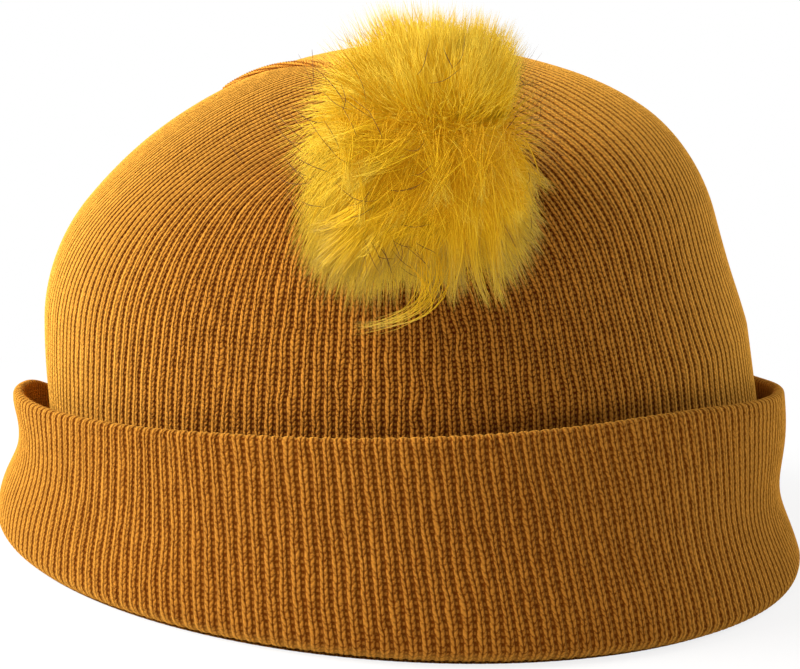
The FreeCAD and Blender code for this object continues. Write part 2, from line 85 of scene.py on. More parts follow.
# %% [markdown]
# ## The forms that the knit is laid on
# A beanie's crown is a sack of knit with no shape of its own until something holds it open. Standing, it
# makes a dome: a straight skirt inside the cuff, a wall that leans in, a shoulder and a rounder top. The
# four meet smoothly, so one outline gives the place and the outward direction at any distance from the
# top along the knit. Two such sacks are used. The upright one is how the ribs want to run, and the
# slumped one is where the crown really is, tipped over on the axis that the construction model gives.

# %% Small sums
def unit(vectors):
    return vectors / np.linalg.norm(vectors, axis=-1, keepdims=True)


def smooth_step(value, low, high):
    """0 below low, 1 above high, and a smooth step between them."""
    part = np.clip((value - low) / (high - low), 0, 1)
    return part * part * (3 - 2 * part)


def angle_off(angle, middle):
    """How far an angle is from another, the short way round."""
    return np.angle(np.exp(1j * (angle - middle)))


# %% A sack
class Sack:
    """A dome turned about an axis in the XZ plane; sizes in millimetres."""

    def __init__(self, foot_x, axis, skirt_radius, skirt_top, wall_tilt, wall_length, shoulder, top):
        self.foot = np.array([foot_x, 0.0, 0.0])
        self.axis = unit(np.array(axis, float))
        self.side = np.array([self.axis[2], 0.0, -self.axis[0]])
        self.skirt_radius, self.skirt_top, self.tilt = skirt_radius, skirt_top, deg(wall_tilt)
        self.shoulder, self.top = shoulder, top
        self.out = skirt_radius - wall_length * math.sin(self.tilt) - shoulder * math.cos(self.tilt)
        self.up = skirt_top + wall_length * math.cos(self.tilt) - shoulder * math.sin(self.tilt)
        self.top_up = self.up - math.sqrt((top - shoulder) ** 2 - self.out ** 2)
        self.top_angle = math.atan2(self.out, self.up - self.top_up)
        self.arc_top = top * self.top_angle
        self.arc_shoulder = self.arc_top + shoulder * (math.pi / 2 - self.tilt - self.top_angle)
        self.arc_wall = self.arc_shoulder + wall_length

    def outline(self, arc):
        """Radius, height and outward direction at a distance from the top."""
        arc = np.asarray(arc, float)
        part = [arc < self.arc_top, arc < self.arc_shoulder, arc < self.arc_wall]
        lean = np.select(part, [arc / self.top, self.top_angle + (arc - self.arc_top) / self.shoulder,
                                math.pi / 2 - self.tilt], math.pi / 2)
        left = self.arc_wall - arc
        radius = np.select(part, [self.top * np.sin(lean), self.out + self.shoulder * np.sin(lean),
                                  self.skirt_radius - left * math.sin(self.tilt)], self.skirt_radius)
        height = np.select(part, [self.top_up + self.top * np.cos(lean),
                                  self.up + self.shoulder * np.cos(lean),
                                  self.skirt_top + left * math.cos(self.tilt)], self.skirt_top + left)
        return radius, height, np.sin(lean), np.cos(lean)

    def to_world(self, x, y, z):
        return (self.foot + np.multiply.outer(x, self.side) + np.multiply.outer(z, self.axis)
                + np.multiply.outer(y, np.array([0.0, 1.0, 0.0])))

    def from_world(self, points):
        off = points - self.foot
        return off @ self.side, off[..., 1], off @ self.axis

    def place(self, azimuth, arc, lift=0.0):
        """A place on the dome, raised along its outward direction by lift."""
        radius, height, out, up = self.outline(arc)
        radius, height = radius + lift * out, height + lift * up
        return self.to_world(radius * np.cos(azimuth), radius * np.sin(azimuth), height)

    def below(self, points):
        """Azimuth and distance from the top of the places on this dome under or over some points."""
        arcs = np.linspace(0, self.arc_wall, 800)
        radius, height = self.outline(arcs)[:2]
        x, y, z = self.from_world(points)
        turned, angle = np.arctan2(y, x), np.arctan2(np.hypot(x, y), z - self.skirt_top)
        arc = np.interp(angle, np.arctan2(radius, height - self.skirt_top), arcs)
        return turned, np.where(z < self.skirt_top, self.arc_wall + self.skirt_top - z, arc)


# %% The two sacks
cuff_lean, skirt_top = deg(4.64), 40.8
upright = Sack(foot_x=-2.2, axis=(-math.sin(cuff_lean), 0, math.cos(cuff_lean)), skirt_radius=87.4,
               skirt_top=skirt_top, wall_tilt=11.1, wall_length=17.6, shoulder=68.3, top=113.3)
crown = Sack(foot_x=5.6, axis=joints["cuff_turn_down"]["axis"], skirt_radius=86.5,
             skirt_top=skirt_top, wall_tilt=8.3, wall_length=27.4, shoulder=43.5, top=104.0)
top_centre = crown.to_world(0.0, 0.0, crown.top_up)
gather_way = unit(np.array(joints["pom_round"]["axis"]))
gather_point = top_centre + gather_way * crown.top
print("dome: %.1f mm of knit from its top to the cuff's rim" % crown.arc_wall)
print("gathered point: %s mm" % gather_point.round(1))

# %% [markdown]
# ## Making a piece of knit
# Knit comes off the machine as a flat sheet of ribs, and gets its form when it is laid over something.
# The same is done here: a flat grid has a few columns for each rib, and a second step moves each of its
# points to its place. Blender could wrap such a grid with a Shrinkwrap modifier, but only a formula puts
# each rib where the shaping of the hat takes it. The UV map counts ribs across and courses up, so that
# the stitches can follow the knit later.

# %% Selecting
def clear_selection():
    if bpy.context.object and bpy.context.object.mode != "OBJECT":
        bpy.ops.object.mode_set(mode="OBJECT")
    bpy.ops.object.select_all(action="DESELECT")


def pick(piece):
    clear_selection()
    bpy.context.view_layer.objects.active = piece
    piece.select_set(True)


# %% Sheets of knit
def flat_sheet(name, columns, rows):
    """A flat grid, with each point's column and row."""
    clear_selection()
    bpy.ops.mesh.primitive_grid_add(x_subdivisions=columns, y_subdivisions=rows, size=1.0, calc_uvs=True)
    sheet = bpy.context.object
    sheet.name = sheet.data.name = name
    points = np.empty(len(sheet.data.vertices) * 3)
    sheet.data.vertices.foreach_get("co", points)
    points = points.reshape(-1, 3)
    column = np.rint((points[:, 0] + 0.5) * columns).astype(int)
    row = np.rint((points[:, 1] + 0.5) * rows).astype(int)
    return sheet, column, row


def lay(sheet, places, u, v):
    """Moves a sheet's points to their places, in mm, and writes its UV map."""
    mesh = sheet.data
    mesh.vertices.foreach_set("co", (places * mm).astype(np.float32).ravel())
    corner = np.empty(len(mesh.loops), dtype=np.int32)
    mesh.loops.foreach_get("vertex_index", corner)
    uv = np.stack([u[corner], v[corner]], axis=1)
    mesh.uv_layers[0].data.foreach_set("uv", uv.astype(np.float32).ravel())
    mesh.update()


# %% Finishing a piece
def finish_mesh(piece, merge=0.0, sharp=180.0):
    """Merges doubles, points the faces outwards and shades all but sharp edges smoothly."""
    pick(piece)
    bpy.ops.object.mode_set(mode="EDIT")
    bpy.ops.mesh.select_all(action="SELECT")
    if merge:
        bpy.ops.mesh.remove_doubles(threshold=merge * mm)
    bpy.ops.mesh.normals_make_consistent(inside=False)
    bpy.ops.object.mode_set(mode="OBJECT")
    bpy.ops.object.shade_smooth_by_angle(angle=deg(sharp))


def apply(piece, kind, **settings):
    """Adds a modifier and applies it."""
    made = piece.modifiers.new(kind.lower(), kind)
    for setting, value in settings.items():
        setattr(made, setting, value)
    pick(piece)
    bpy.ops.object.modifier_apply(modifier=made.name)


def belong(piece, body, slot, *nodes):
    """Makes a piece ride on a body and stand for construction nodes, which it hides; slot is not used."""
    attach(piece, body)
    if nodes:
        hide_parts(*nodes)
    print("%s: %d faces, on %s" % (piece.name, len(piece.data.polygons), body))


# %% Ribs
course_height = 1.17
rib_proud = 0.1
RIB = [0, 0.66, 1, 0.80, 1, 0.66, 0]
rows_to_a_shift = 5


def rib_profile(column, per_rib):
    """Height across a rib: 0 in the channel, 1 on its two strands and a shallow groove between them."""
    return np.interp((column % per_rib) / per_rib, np.arange(len(RIB)) / (len(RIB) - 1), RIB)


def uneven_ribs(ribs, rows, per_rib, seed, depth, closed=False):
    """Sideways shifts in ribs, one for each column and row: no two ribs of a knit are alike."""
    dice = np.random.RandomState(seed)
    knots = dice.normal(size=(ribs + 1, rows // rows_to_a_shift + 3)) * depth
    if closed:
        knots[-1] = knots[0]
    else:
        knots[[0, -1]] = 0
    at = np.arange(rows + 1) / rows_to_a_shift
    low = np.floor(at).astype(int)
    part = smooth_step(at - low, 0, 1)
    lines = knots[:, low] * (1 - part) + knots[:, low + 1] * part
    across = np.arange(ribs * per_rib + 1) / per_rib
    left = np.minimum(np.floor(across).astype(int), ribs - 1)
    share = (across - left)[:, None]
    return lines[left] * (1 - share) + lines[left + 1] * share


print("a course is %.2f mm high, and the ribs stand %.1f mm proud" % (course_height, rib_proud))

# %% [markdown]
# ## The crown's ribs
# At the cuff the ribs run straight up. Higher, the crown is shaped by three darts: between two darts the
# ribs stop drawing together and run side by side, so those near a dart run into its seam and make a
# chevron with their neighbours. The seams meet at the gathered point, which the pom-pom has pulled
# forward. Each panel between two darts is a piece of its own, knitted as one grid and thickened.

# %% Rib flow
gather_azimuth, gather_part = deg(-85.6), 0.3655
pull_power, ease = 1.5, 0.2
crown_ribs = 216
# For each panel: where it starts and stops at the rim, where its ribs run straight up, and over how much
# of the way up, measured from the top, they run side by side.
PANELS = {
    "right": (deg(-81.0), deg(65.0), deg(-53.0), 0.722),
    "left": (deg(-214.0), deg(-81.0), deg(-137.0), 0.453),
    "back": (deg(65.0), deg(146.0), deg(105.0), 0.55),
}


def drawn(azimuth, climb):
    """Azimuth and distance from the top on the slumped crown of a line that climbs to the gather.

    The line is drawn on the upright sack, where climb is 0 at the rim and 1 at the gathered point."""
    w = (np.exp(1j * azimuth) * (1 - climb)
         + gather_part * np.exp(1j * gather_azimuth) * climb ** pull_power)
    return crown.below(upright.place(np.angle(w), np.abs(w) * upright.arc_wall))


def closeness(climb, width):
    """How far the ribs of a panel have drawn together."""
    start = 1 - width - ease / 2
    easing = 1 - (climb - start) ** 2 / (2 * width * ease)
    return np.where(climb <= start, 1.0, np.where(climb < start + ease, easing, (1 - climb) / width))


reached = crown.place(*drawn(np.array(0.0), np.array(1.0)))
print("ribs meet %.1f mm from the fastening's axis" % np.linalg.norm(reached - gather_point))


# %% [markdown]
# ## How the knit slumps
# Stuffed knit is never a perfect dome. It bellies out over the cuff on one side, sinks a little beside
# the pom-pom and shows faint dents. Both plies get the same low bumps, so they stay one inside the other.

# %% Slump
# For each low bump: its azimuth in degrees and its distance from the top, its spread in radians round
# the crown and in millimetres along it, and how far it stands proud.
BUMPS = ((181, 112, 0.55, 16, 0.9), (-12, 70, 0.35, 18, 1.0), (-150, 72, 0.30, 20, -0.8),
         (15, 118, 0.4, 16, -0.7), (-62, 92, 0.45, 15, 0.5), (120, 88, 0.6, 22, 0.8))


def slump(azimuth, arc):
    """Millimetres that the crown stands proud of its smooth form."""
    total = 0.0
    for turned, along, wide, high, proud in BUMPS:
        off = angle_off(azimuth, deg(turned))
        total = total + proud * np.exp(-(off / wide) ** 2 - ((arc - along) / high) ** 2)
    ripple = 0.22 * np.sin(3 * azimuth + arc / 21.0) + 0.16 * np.sin(5 * azimuth - arc / 13.0 + 1.0)
    near_rim = smooth_step(-arc, -crown.arc_wall, -crown.arc_wall + 15)
    return total + ripple * smooth_step(arc, 30, 60) * near_rim


# %% Eyelet and skirt
eyelet = 3.3
skirt_foot = 3.8


def open_eyelet(points):
    """Spreads the knit round the hole that the pom-pom's elastic goes through."""
    off = points - gather_point
    along = (off @ gather_way)[..., None] * gather_way
    flat = off - along
    far = np.linalg.norm(flat, axis=-1, keepdims=True)
    return gather_point + along + flat * np.hypot(far, eyelet) / far


def skirt_drop(azimuth):
    """How far the skirt runs down from its top corner to stand clear over the base fold."""
    leaning = crown.side[2] * crown.skirt_radius * np.cos(azimuth)
    return crown.skirt_top - (skirt_foot - leaning) / crown.axis[2]


print("the skirt ends %.1f mm above the ground" % skirt_foot)

# %% A panel's ribs
panel_stop = 0.962
rib_wander = 0.075


def last_climbs(rim, start, stop, centre, width):
    """How far up each rib of a panel climbs before it meets the dart beside it."""
    climbs = np.linspace(0, panel_stop, 2001)
    reach = np.where(rim < centre, (centre - rim) / (centre - start), (rim - centre) / (stop - centre))
    last = np.interp(-np.clip(reach, 0, 1), -closeness(climbs, width), climbs)
    return np.where(reach >= 1, 1 - width - ease / 2, last)


def into_skirt(turned, arc, below):
    """Draws the lowest rows straight down inside the cuff; below is 0 at the rim and 1 at the foot."""
    return arc + below * (crown.arc_wall + skirt_drop(turned) - arc)


# %% Crown panels
rib_depth, rib_share = 0.42, 0.17
panel_thickness, seam_width, crease = 0.42, 1.5, 82.0


def crown_panel(name, start, stop, centre, width, per_rib=6, rows=64, skirt_rows=10):
    ribs = round((stop - start) / (2 * math.pi) * crown_ribs)
    columns = ribs * per_rib
    sheet, column, row = flat_sheet(name, columns, rows + skirt_rows)
    rim = start + (stop - start) * np.arange(columns + 1) / columns
    last = last_climbs(rim, start, stop, centre, width)
    climb = np.clip((row - skirt_rows) / rows, 0, 1) * last[column]
    to_seam = (last[column] - climb) * crown.arc_wall
    shift = uneven_ribs(ribs, rows + skirt_rows, per_rib, ribs, rib_wander)[column, row]
    shift *= (stop - start) / ribs * np.clip(to_seam / 8, 0, 1)
    turned, arc = drawn(centre + (rim[column] + shift - centre) / closeness(climb, width), climb)
    arc = into_skirt(turned, arc, np.clip((skirt_rows - row) / skirt_rows, 0, 1))
    grid = np.empty((columns + 1, rows + skirt_rows + 1, 3))
    grid[column, row] = crown.place(turned, arc)
    pitch = np.linalg.norm(np.diff(grid, axis=0), axis=2) * per_rib
    pitch = np.vstack([pitch, pitch[-1:]])[column, row]
    along = np.zeros(grid.shape[:2])
    along[:, 1:] = np.cumsum(np.linalg.norm(np.diff(grid, axis=1), axis=2), axis=1)
    along -= along[:, skirt_rows:skirt_rows + 1]
    depth = np.minimum(rib_depth, rib_share * pitch)
    at_seam = np.clip(1 - to_seam / seam_width, 0, 1)
    lift = rib_proud - depth * ((1 - rib_profile(column, per_rib)) * (1 - at_seam) + 0.5 * at_seam)
    places = open_eyelet(crown.place(turned, arc, lift + slump(turned, arc)))
    lay(sheet, places, column / per_rib, along[column, row] / course_height)
    apply(sheet, "SOLIDIFY", thickness=panel_thickness * mm, offset=-1.0)
    finish_mesh(sheet, sharp=crease)
    return sheet


crown_panels = {}
for side, shape in PANELS.items():
    crown_panels[side] = crown_panel("crown_panel_" + side, *shape)
    belong(crown_panels[side], "crown", "knit_outer", "crown_shell")

# %% [markdown]
# ## The lining
# A double-layer beanie is one long tube of knit pushed into itself, so the lining is the same knit seen
# from its other side. It is a single grid rolled into a tube: its two long edges meet and are merged.

# %% Lining knit
lining_stop, lining_start = 0.930, deg(100)
lining_inset, lining_rib, lining_thickness = 2.55, 0.5, 0.5


def lining_knit(per_rib=4, rows=36, skirt_rows=8):
    columns = crown_ribs * per_rib
    sheet, column, row = flat_sheet("crown_lining_knit", columns, rows + skirt_rows)
    climb = np.clip((row - skirt_rows) / rows, 0, 1) * lining_stop
    turned, arc = drawn(2 * math.pi * column / columns + lining_start, climb)
    below = np.clip((skirt_rows - row) / skirt_rows, 0, 1)
    arc = into_skirt(turned, arc, below)
    fade = np.clip((1 - climb) / 0.4, 0, 1)
    lift = lining_rib * (1 - np.sin(math.pi * (column % per_rib) / per_rib)) * fade - lining_inset
    places = open_eyelet(crown.place(turned, arc, lift + slump(turned, arc)))
    lay(sheet, places, column / per_rib, climb * crown.arc_wall / course_height - below * 30)
    apply(sheet, "SOLIDIFY", thickness=-lining_thickness * mm, offset=-1.0)
    finish_mesh(sheet, merge=0.01, sharp=crease)
    return sheet


lining = lining_knit()
belong(lining, "crown", "knit_inner", "crown_lining")

# %% [markdown]
# ## The turned-up cuff
# The cuff is the end of the hat folded up over the crown: from the fold that the hat stands on, its face
# flares up to a rounded hem fold and comes down again as the ply behind. One grid runs all the way round
# that closed section, and its ends are merged in both directions, so the cuff is one unbroken ring of
# knit, as it is on the hat. The ribs lean a little, because a cuff is never turned up quite straight.

# %% Cuff sizes
UP = np.array([0.0, 0.0, 1.0])
cuff_ribs = 234
base_radius, base_height, base_round = 100.0, 3.2, 2.0
rim_radius, rim_height, rim_foot_x = 93.4, 41.4, 0.5
wall_thickness, opening_radius, opening_round = 2.6, crown.skirt_radius - 3.0, 2.2
print("cuff: %.0f mm across, its opening %.0f mm round" % (2 * base_radius, 2 * math.pi * opening_radius))

# %% How the rim hangs
# How far the rim hangs below its circle, in degrees round the hat and millimetres.
RIM_DROP = ((-180, 5.2), (-174, 3.9), (-168, 3.0), (-158, 2.3), (-148, 1.8), (-138, 1.2), (-125, 0.5),
            (-110, -0.2), (-55, -0.2), (-45, 0.6), (-32, 2.9), (-22, 4.6), (-12, 6.2), (-4, 7.8), (6, 9.8),
            (20, 11.6), (50, 10.0), (90, 8.0), (130, 10.5), (155, 14.0), (166, 12.6), (173, 8.4), (180, 5.2))


def rim_drop(angle):
    """How far the rim hangs: the cuff was turned up less at the back and at both sides than in front."""
    turned = np.degrees(angle_off(angle, 0.0))
    spread = np.linspace(-3, 3, 5)
    return sum(np.interp((turned + s + 180) % 360 - 180, *zip(*RIM_DROP)) for s in spread) / len(spread)


# %% How the cuff swells
# For each swell: its angle and its spread round the hat in degrees, its height and its spread up the
# cuff as parts of the cuff's height, and how far it stands proud.
SWELLS = ((188, 30, 0.58, 0.28, -2.0), (192, 26, 0.22, 0.20, 0.2), (200, 16, 1.0, 0.16, 1.3),
          (-12, 34, 0.38, 0.30, -3.9), (-30, 14, 1.0, 0.14, 0.7), (-95, 50, 0.12, 0.30, 2.4))


def belly(angle, part):
    """How far the cuff's face swells out, part of the way up from the base fold to the hem."""
    total = (0.35 * np.sin(3 * angle + 0.6) + 0.25 * np.sin(7 * angle + 2.0)) * np.sin(math.pi * part)
    for turned, wide, up, high, proud in SWELLS:
        total = total + proud * np.exp(-(angle_off(angle, deg(turned)) / deg(wide)) ** 2
                                       - ((part - up) / high) ** 2)
    return total


# %% The cuff's section
# For each stretch of the section, in order: its rows, and how deep the ribs are at its start and end.
STRETCHES = {"under": (5, 0.3, 0.3), "foot": (6, 0.3, 1.0), "face": (22, 1.0, 1.0), "hem": (8, 1.0, 0.4),
             "back": (11, 0.4, 0.4), "shelf": (3, 0.1, 0.1), "inner": (4, 0.3, 0.3)}


def section_rows():
    """The stretch of each row of the cuff's closed section, how far along it, and how deep its ribs are."""
    rows = [("under", 0.0, STRETCHES["under"][1])]
    for stretch, (count, first, last) in STRETCHES.items():
        rows += [(stretch, t, first + (last - first) * t) for t in np.linspace(0, 1, count + 1)[1:]]
    return rows


SECTION = section_rows()


def circle(angle, radius, middle, across=(1.0, 0.0, 0.0)):
    return (middle + np.multiply.outer(radius * np.cos(angle), np.array(across))
            + np.multiply.outer(radius * np.sin(angle), np.array([0.0, 1.0, 0.0])))


def on_stretch(stretch, values):
    """Picks for each point the row of the stretch that it is on."""
    return np.select([stretch[:, None] == name for name in values], list(values.values()))


def cuff_surface(stretch, part, turned, climb):
    """Places on the cuff's section and the outward directions there."""
    out = circle(turned, 1.0, np.zeros(3))
    base = circle(turned, base_radius, UP * base_height)
    lean_side = (math.cos(cuff_lean), 0.0, math.sin(cuff_lean))
    lean_up = np.array([-math.sin(cuff_lean), 0.0, math.cos(cuff_lean)])
    rim = circle(turned, rim_radius, np.array([rim_foot_x, 0, 0]) + lean_up * rim_height, lean_side)
    rim = rim - unit(rim - base) * rim_drop(turned)[:, None]
    face_up = unit(rim - base)
    face_out = unit(np.cross(face_up, np.cross(out, UP)))
    face_out *= np.sign((face_out * out).sum(axis=1))[:, None]
    hole = circle(turned, opening_radius + opening_round, np.array([crown.foot[0], 0, 0]))
    foot = circle(turned, base_radius - base_round, np.zeros(3))
    hem = rim - face_out * wall_thickness / 2
    behind = rim - face_out * wall_thickness
    behind_foot = base - face_out * wall_thickness + UP * 0.2
    ledge = circle(turned, opening_radius, np.array([crown.foot[0], 0, base_height]))
    quarter, half, along = (part * math.pi / 2)[:, None], (part * math.pi)[:, None], part[:, None]
    hem_way = face_out * np.cos(half) + face_up * np.sin(half)
    places = on_stretch(stretch, {
        "under": hole + (foot - hole) * along,
        "foot": foot + out * base_round * np.sin(quarter) + UP * base_height * (1 - np.cos(quarter)),
        "face": base + (rim - base) * along,
        "hem": hem + hem_way * wall_thickness / 2,
        "back": behind + (behind_foot - behind) * along,
        "shelf": behind_foot + (ledge - behind_foot) * along,
        "inner": hole - out * opening_round * np.cos(quarter) + UP * base_height * (1 - np.sin(quarter))})
    outward = on_stretch(stretch, {
        "under": -UP + 0 * out, "foot": out * np.sin(quarter) - UP * np.cos(quarter), "face": face_out,
        "hem": hem_way, "back": -face_out, "shelf": UP + 0 * out,
        "inner": -out * np.cos(quarter) - UP * np.sin(quarter)})
    swell_way = out * (climb < 0.02)[:, None] + face_out * (climb >= 0.02)[:, None]
    swell = np.where(np.isin(stretch, ("foot", "under")), part, np.isin(stretch, ("face", "back", "hem")))
    swell = np.where(stretch == "shelf", 1 - part, swell)
    return places + swell_way * (belly(turned, climb) * swell)[:, None], outward


# %% Cuff
cuff_wander, cuff_rib_depth = 0.07, 0.46
rib_slant, bend_slant, bend_spread = deg(2.3), deg(1.1), 0.16
RIB_BENDS = (-112, -62)


def cuff_knit(per_rib=6):
    columns = cuff_ribs * per_rib
    sheet, column, row = flat_sheet("cuff_knit", columns, len(SECTION))
    stretch, part, scale = (np.array(values)[row % len(SECTION)] for values in zip(*SECTION))
    angle = math.pi / 2 + 2 * math.pi * column / columns
    climb = np.select([stretch == "face", stretch == "hem", stretch == "back"], [part, 1.0, 1 - part], 0.0)
    shift = uneven_ribs(cuff_ribs, len(SECTION), per_rib, 7, cuff_wander, True)[column, row]
    shift *= np.minimum(climb * 6, 1) * 2 * math.pi / cuff_ribs
    bent = sum(np.exp(-(angle_off(angle, deg(bend)) / bend_spread) ** 2) for bend in RIB_BENDS)
    turned = angle + shift - rib_slant * climb - bend_slant * bent * climb ** 2
    places, outward = cuff_surface(stretch, part, turned, climb)
    lift = rib_proud - cuff_rib_depth * (1 - rib_profile(column, per_rib)) * scale
    places = places + outward * lift[:, None]
    places[:, 2] = np.maximum(places[:, 2], 0.0)
    grid = np.empty((columns + 1, len(SECTION) + 1, 3))
    grid[column, row] = places
    steps = np.linalg.norm(np.diff(grid, axis=1), axis=2).mean(axis=0)
    along = np.concatenate([[0], np.cumsum(steps)])
    lay(sheet, places, column / per_rib, along[row] / course_height)
    finish_mesh(sheet, merge=0.02)
    return sheet


cuff = cuff_knit()
belong(cuff, "cuff", "knit_outer", "cuff_face", "cuff_backing", "cuff_hem_fold", "cuff_base_fold")

# %% [markdown]
# ## Cords, threads and seams
# A linked seam, an overcast edge and an elastic cord are all strands wound round a line. Blender can
# sweep a curve with a round bevel; here a helper sweeps the rings itself, because a strand that winds
# round a line that itself lies on the crown needs the line's own directions at every step.

# %% Directions along a line
def along_line(points, closed=False):
    """Directions along and across a line of points, kept from twisting."""
    if closed:
        tangent = unit(np.roll(points, -1, axis=0) - np.roll(points, 1, axis=0))
    else:
        tangent = unit(np.gradient(points, axis=0))
    across = np.empty_like(points)
    start = np.cross(tangent[0], UP if abs(tangent[0][2]) < 0.9 else np.array([1.0, 0, 0]))
    across[0] = unit(start)
    for k in range(1, len(points)):
        across[k] = unit(across[k - 1] - tangent[k] * (across[k - 1] @ tangent[k]))
    return tangent, across, np.cross(tangent, across)


# %% Swept tubes
end_taper = 0.55


def line_lengths(line):
    """How far along a line each of its points lies."""
    return np.concatenate([[0], np.cumsum(np.linalg.norm(np.diff(line, axis=0), axis=1))])


def new_piece(name, mesh):
    piece = bpy.data.objects.new(name, mesh)
    bpy.context.scene.collection.objects.link(piece)
    return piece


def swept(name, line, radius, sides, closed):
    """One tube swept along a line; UV is round and along."""
    _, across, over = along_line(line, closed)
    radii = np.full(len(line), float(radius))
    if not closed:
        radii[[0, -1]] *= end_taper
    turn = 2 * math.pi * np.arange(sides) / sides
    rings = line[:, None] + radii[:, None, None] * (np.cos(turn)[:, None] * across[:, None]
                                                    + np.sin(turn)[:, None] * over[:, None])
    faces = []
    for k in range(len(line) if closed else len(line) - 1):
        after = (k + 1) % len(line)
        for j in range(sides):
            near = (j + 1) % sides
            faces.append((k * sides + j, k * sides + near, after * sides + near, after * sides + j))
    if not closed:
        faces.append(tuple(range(sides))[::-1])
        faces.append(tuple((len(line) - 1) * sides + j for j in range(sides)))
    mesh = bpy.data.meshes.new(name)
    mesh.from_pydata((rings.reshape(-1, 3) * mm).tolist(), [], faces)
    uv = mesh.uv_layers.new(name="UVMap")
    lengths = line_lengths(line)
    for polygon in mesh.polygons:
        rounds = [mesh.loops[k].vertex_index % sides for k in polygon.loop_indices]
        rows = [mesh.loops[k].vertex_index // sides for k in polygon.loop_indices]
        wrap = max(rounds) - min(rounds) > sides / 2
        last = closed and max(rows) - min(rows) > 1
        for k, r, s in zip(polygon.loop_indices, rounds, rows):
            uv.data[k].uv = ((r + (sides if wrap and r == 0 else 0)) / sides,
                             lengths[-1] if last and s == 0 else lengths[s])
    return new_piece(name, mesh)


def tube(name, lines, radius, sides=8, closed=False):
    """Swept tubes along one or more lines, joined in one piece."""
    clear_selection()
    parts = [swept(name, np.asarray(line, float), radius, sides, closed) for line in lines]
    for part in parts:
        part.select_set(True)
    bpy.context.view_layer.objects.active = parts[0]
    if len(parts) > 1:
        bpy.ops.object.join()
    piece = bpy.context.view_layer.objects.active
    piece.name = piece.data.name = name
    finish_mesh(piece, sharp=60.0)
    return piece


# %% Wound strands
def wound(line, reach, pitch, phase=0.0, closed=False):
    """A line that winds round another at a distance, once in each pitch."""
    _, across, over = along_line(line, closed)
    lengths = line_lengths(line)
    if closed:
        whole = lengths[-1] + np.linalg.norm(line[0] - line[-1])
        pitch = whole / round(whole / pitch)
    turn = 2 * math.pi * lengths / pitch + phase
    return line + reach * (np.cos(turn)[:, None] * across + np.sin(turn)[:, None] * over)


def twisted_pair(line, reach, pitch, closed=False):
    """Two strands wound round each other."""
    return [wound(line, reach, pitch, phase, closed) for phase in (0.0, math.pi)]


# %% [markdown]
# ## The dart seams
# Where two panels meet, their edges are linked: a chain of stitches that stands up as a thin rope from
# the gathered point outwards. Two strands wound round each other along the dart make that rope, and a
# thinner pair makes the same seam on the lining's inner side, where the wearer would feel it.

# %% Dart seams
# For each dart: its azimuth at the rim, in degrees, and how far out its seam runs.
DARTS = {"front": (-81.0, 42.0), "right": (65.0, 70.0), "left": (146.0, 70.0)}
yarn_pitch, rope_yarn, inner_yarn = 2.3, 0.40, 0.34
rope_start, rope_lift = 7.6, 0.55
inner_start, inner_lift = 14.0, -3.3


def dart_line(rim_azimuth, near, far, lift, steps=400):
    """Places along a dart, from near to far millimetres out from the gathered point."""
    climb = np.linspace(0.999, 0.3, 1500)
    turned, arc = drawn(deg(rim_azimuth) + 0 * climb, climb)
    line = crown.place(turned, arc, lift + slump(turned, arc))
    want = np.linspace(near, far, steps)
    return np.stack([np.interp(want, line_lengths(line), line[:, k]) for k in range(3)], axis=1)


seams = []
for side, (rim_azimuth, far) in DARTS.items():
    rope = twisted_pair(dart_line(rim_azimuth, rope_start, far, rope_lift), rope_yarn * 0.92, yarn_pitch)
    seam = tube("seam_rope_" + side, rope, rope_yarn, 6)
    belong(seam, "crown", "seam_yarn", "crown_seam_" + side)
    seams.append(seam)

# %% Lining seams
inner_strands = []
for rim_azimuth, far in DARTS.values():
    inner_line = dart_line(rim_azimuth, inner_start, far, inner_lift)
    inner_strands += twisted_pair(inner_line, inner_yarn, yarn_pitch)
inner_seams = tube("lining_seam_ropes", inner_strands, inner_yarn, 6)
belong(inner_seams, "crown", "seam_yarn", "lining_dart_seams")

# %% [markdown]
# ## The gathered point and its fastening
# Thread overcast round the eyelet draws the darts together. The pom-pom's elastic goes through it and
# round a button inside the hat, and a felt patch spreads the button's pull over the lining. All of these
# share one axis, and each is made round that axis at the height where the construction model has it.

# %% Round the fastening's axis
def frame_at(origin, axis):
    """A point and three directions: two across the axis and the axis."""
    across = unit(np.cross(np.array([0.0, 1.0, 0.0]), axis))
    return origin, across, np.cross(axis, across), axis


def ring_line(place, radius, height, count):
    origin, across, over, axis = place
    turn = 2 * math.pi * np.arange(count) / count
    return origin + height * axis + radius * (np.cos(turn)[:, None] * across + np.sin(turn)[:, None] * over)


fastening = frame_at(top_centre, gather_way)

# %% Overcast ring
ring_radius, ring_height, ring_steps = 5.9, crown.top + 0.70, 1440
overcast_stitches, overcast_reach, overcast_rise = 46, 1.2, 0.34
overcast = ring_line(fastening, ring_radius, ring_height, ring_steps)
wrap = 2 * math.pi * overcast_stitches * np.arange(ring_steps) / ring_steps
radial = unit(overcast - top_centre - ring_height * gather_way)
coil = (overcast + radial * (overcast_reach * np.cos(wrap))[:, None]
        + gather_way * (overcast_rise * np.sin(wrap))[:, None])
gather_ring = tube("gather_overcast", [coil], 0.2, 5, closed=True)
belong(gather_ring, "crown", "seam_yarn", "crown_gather_ring")


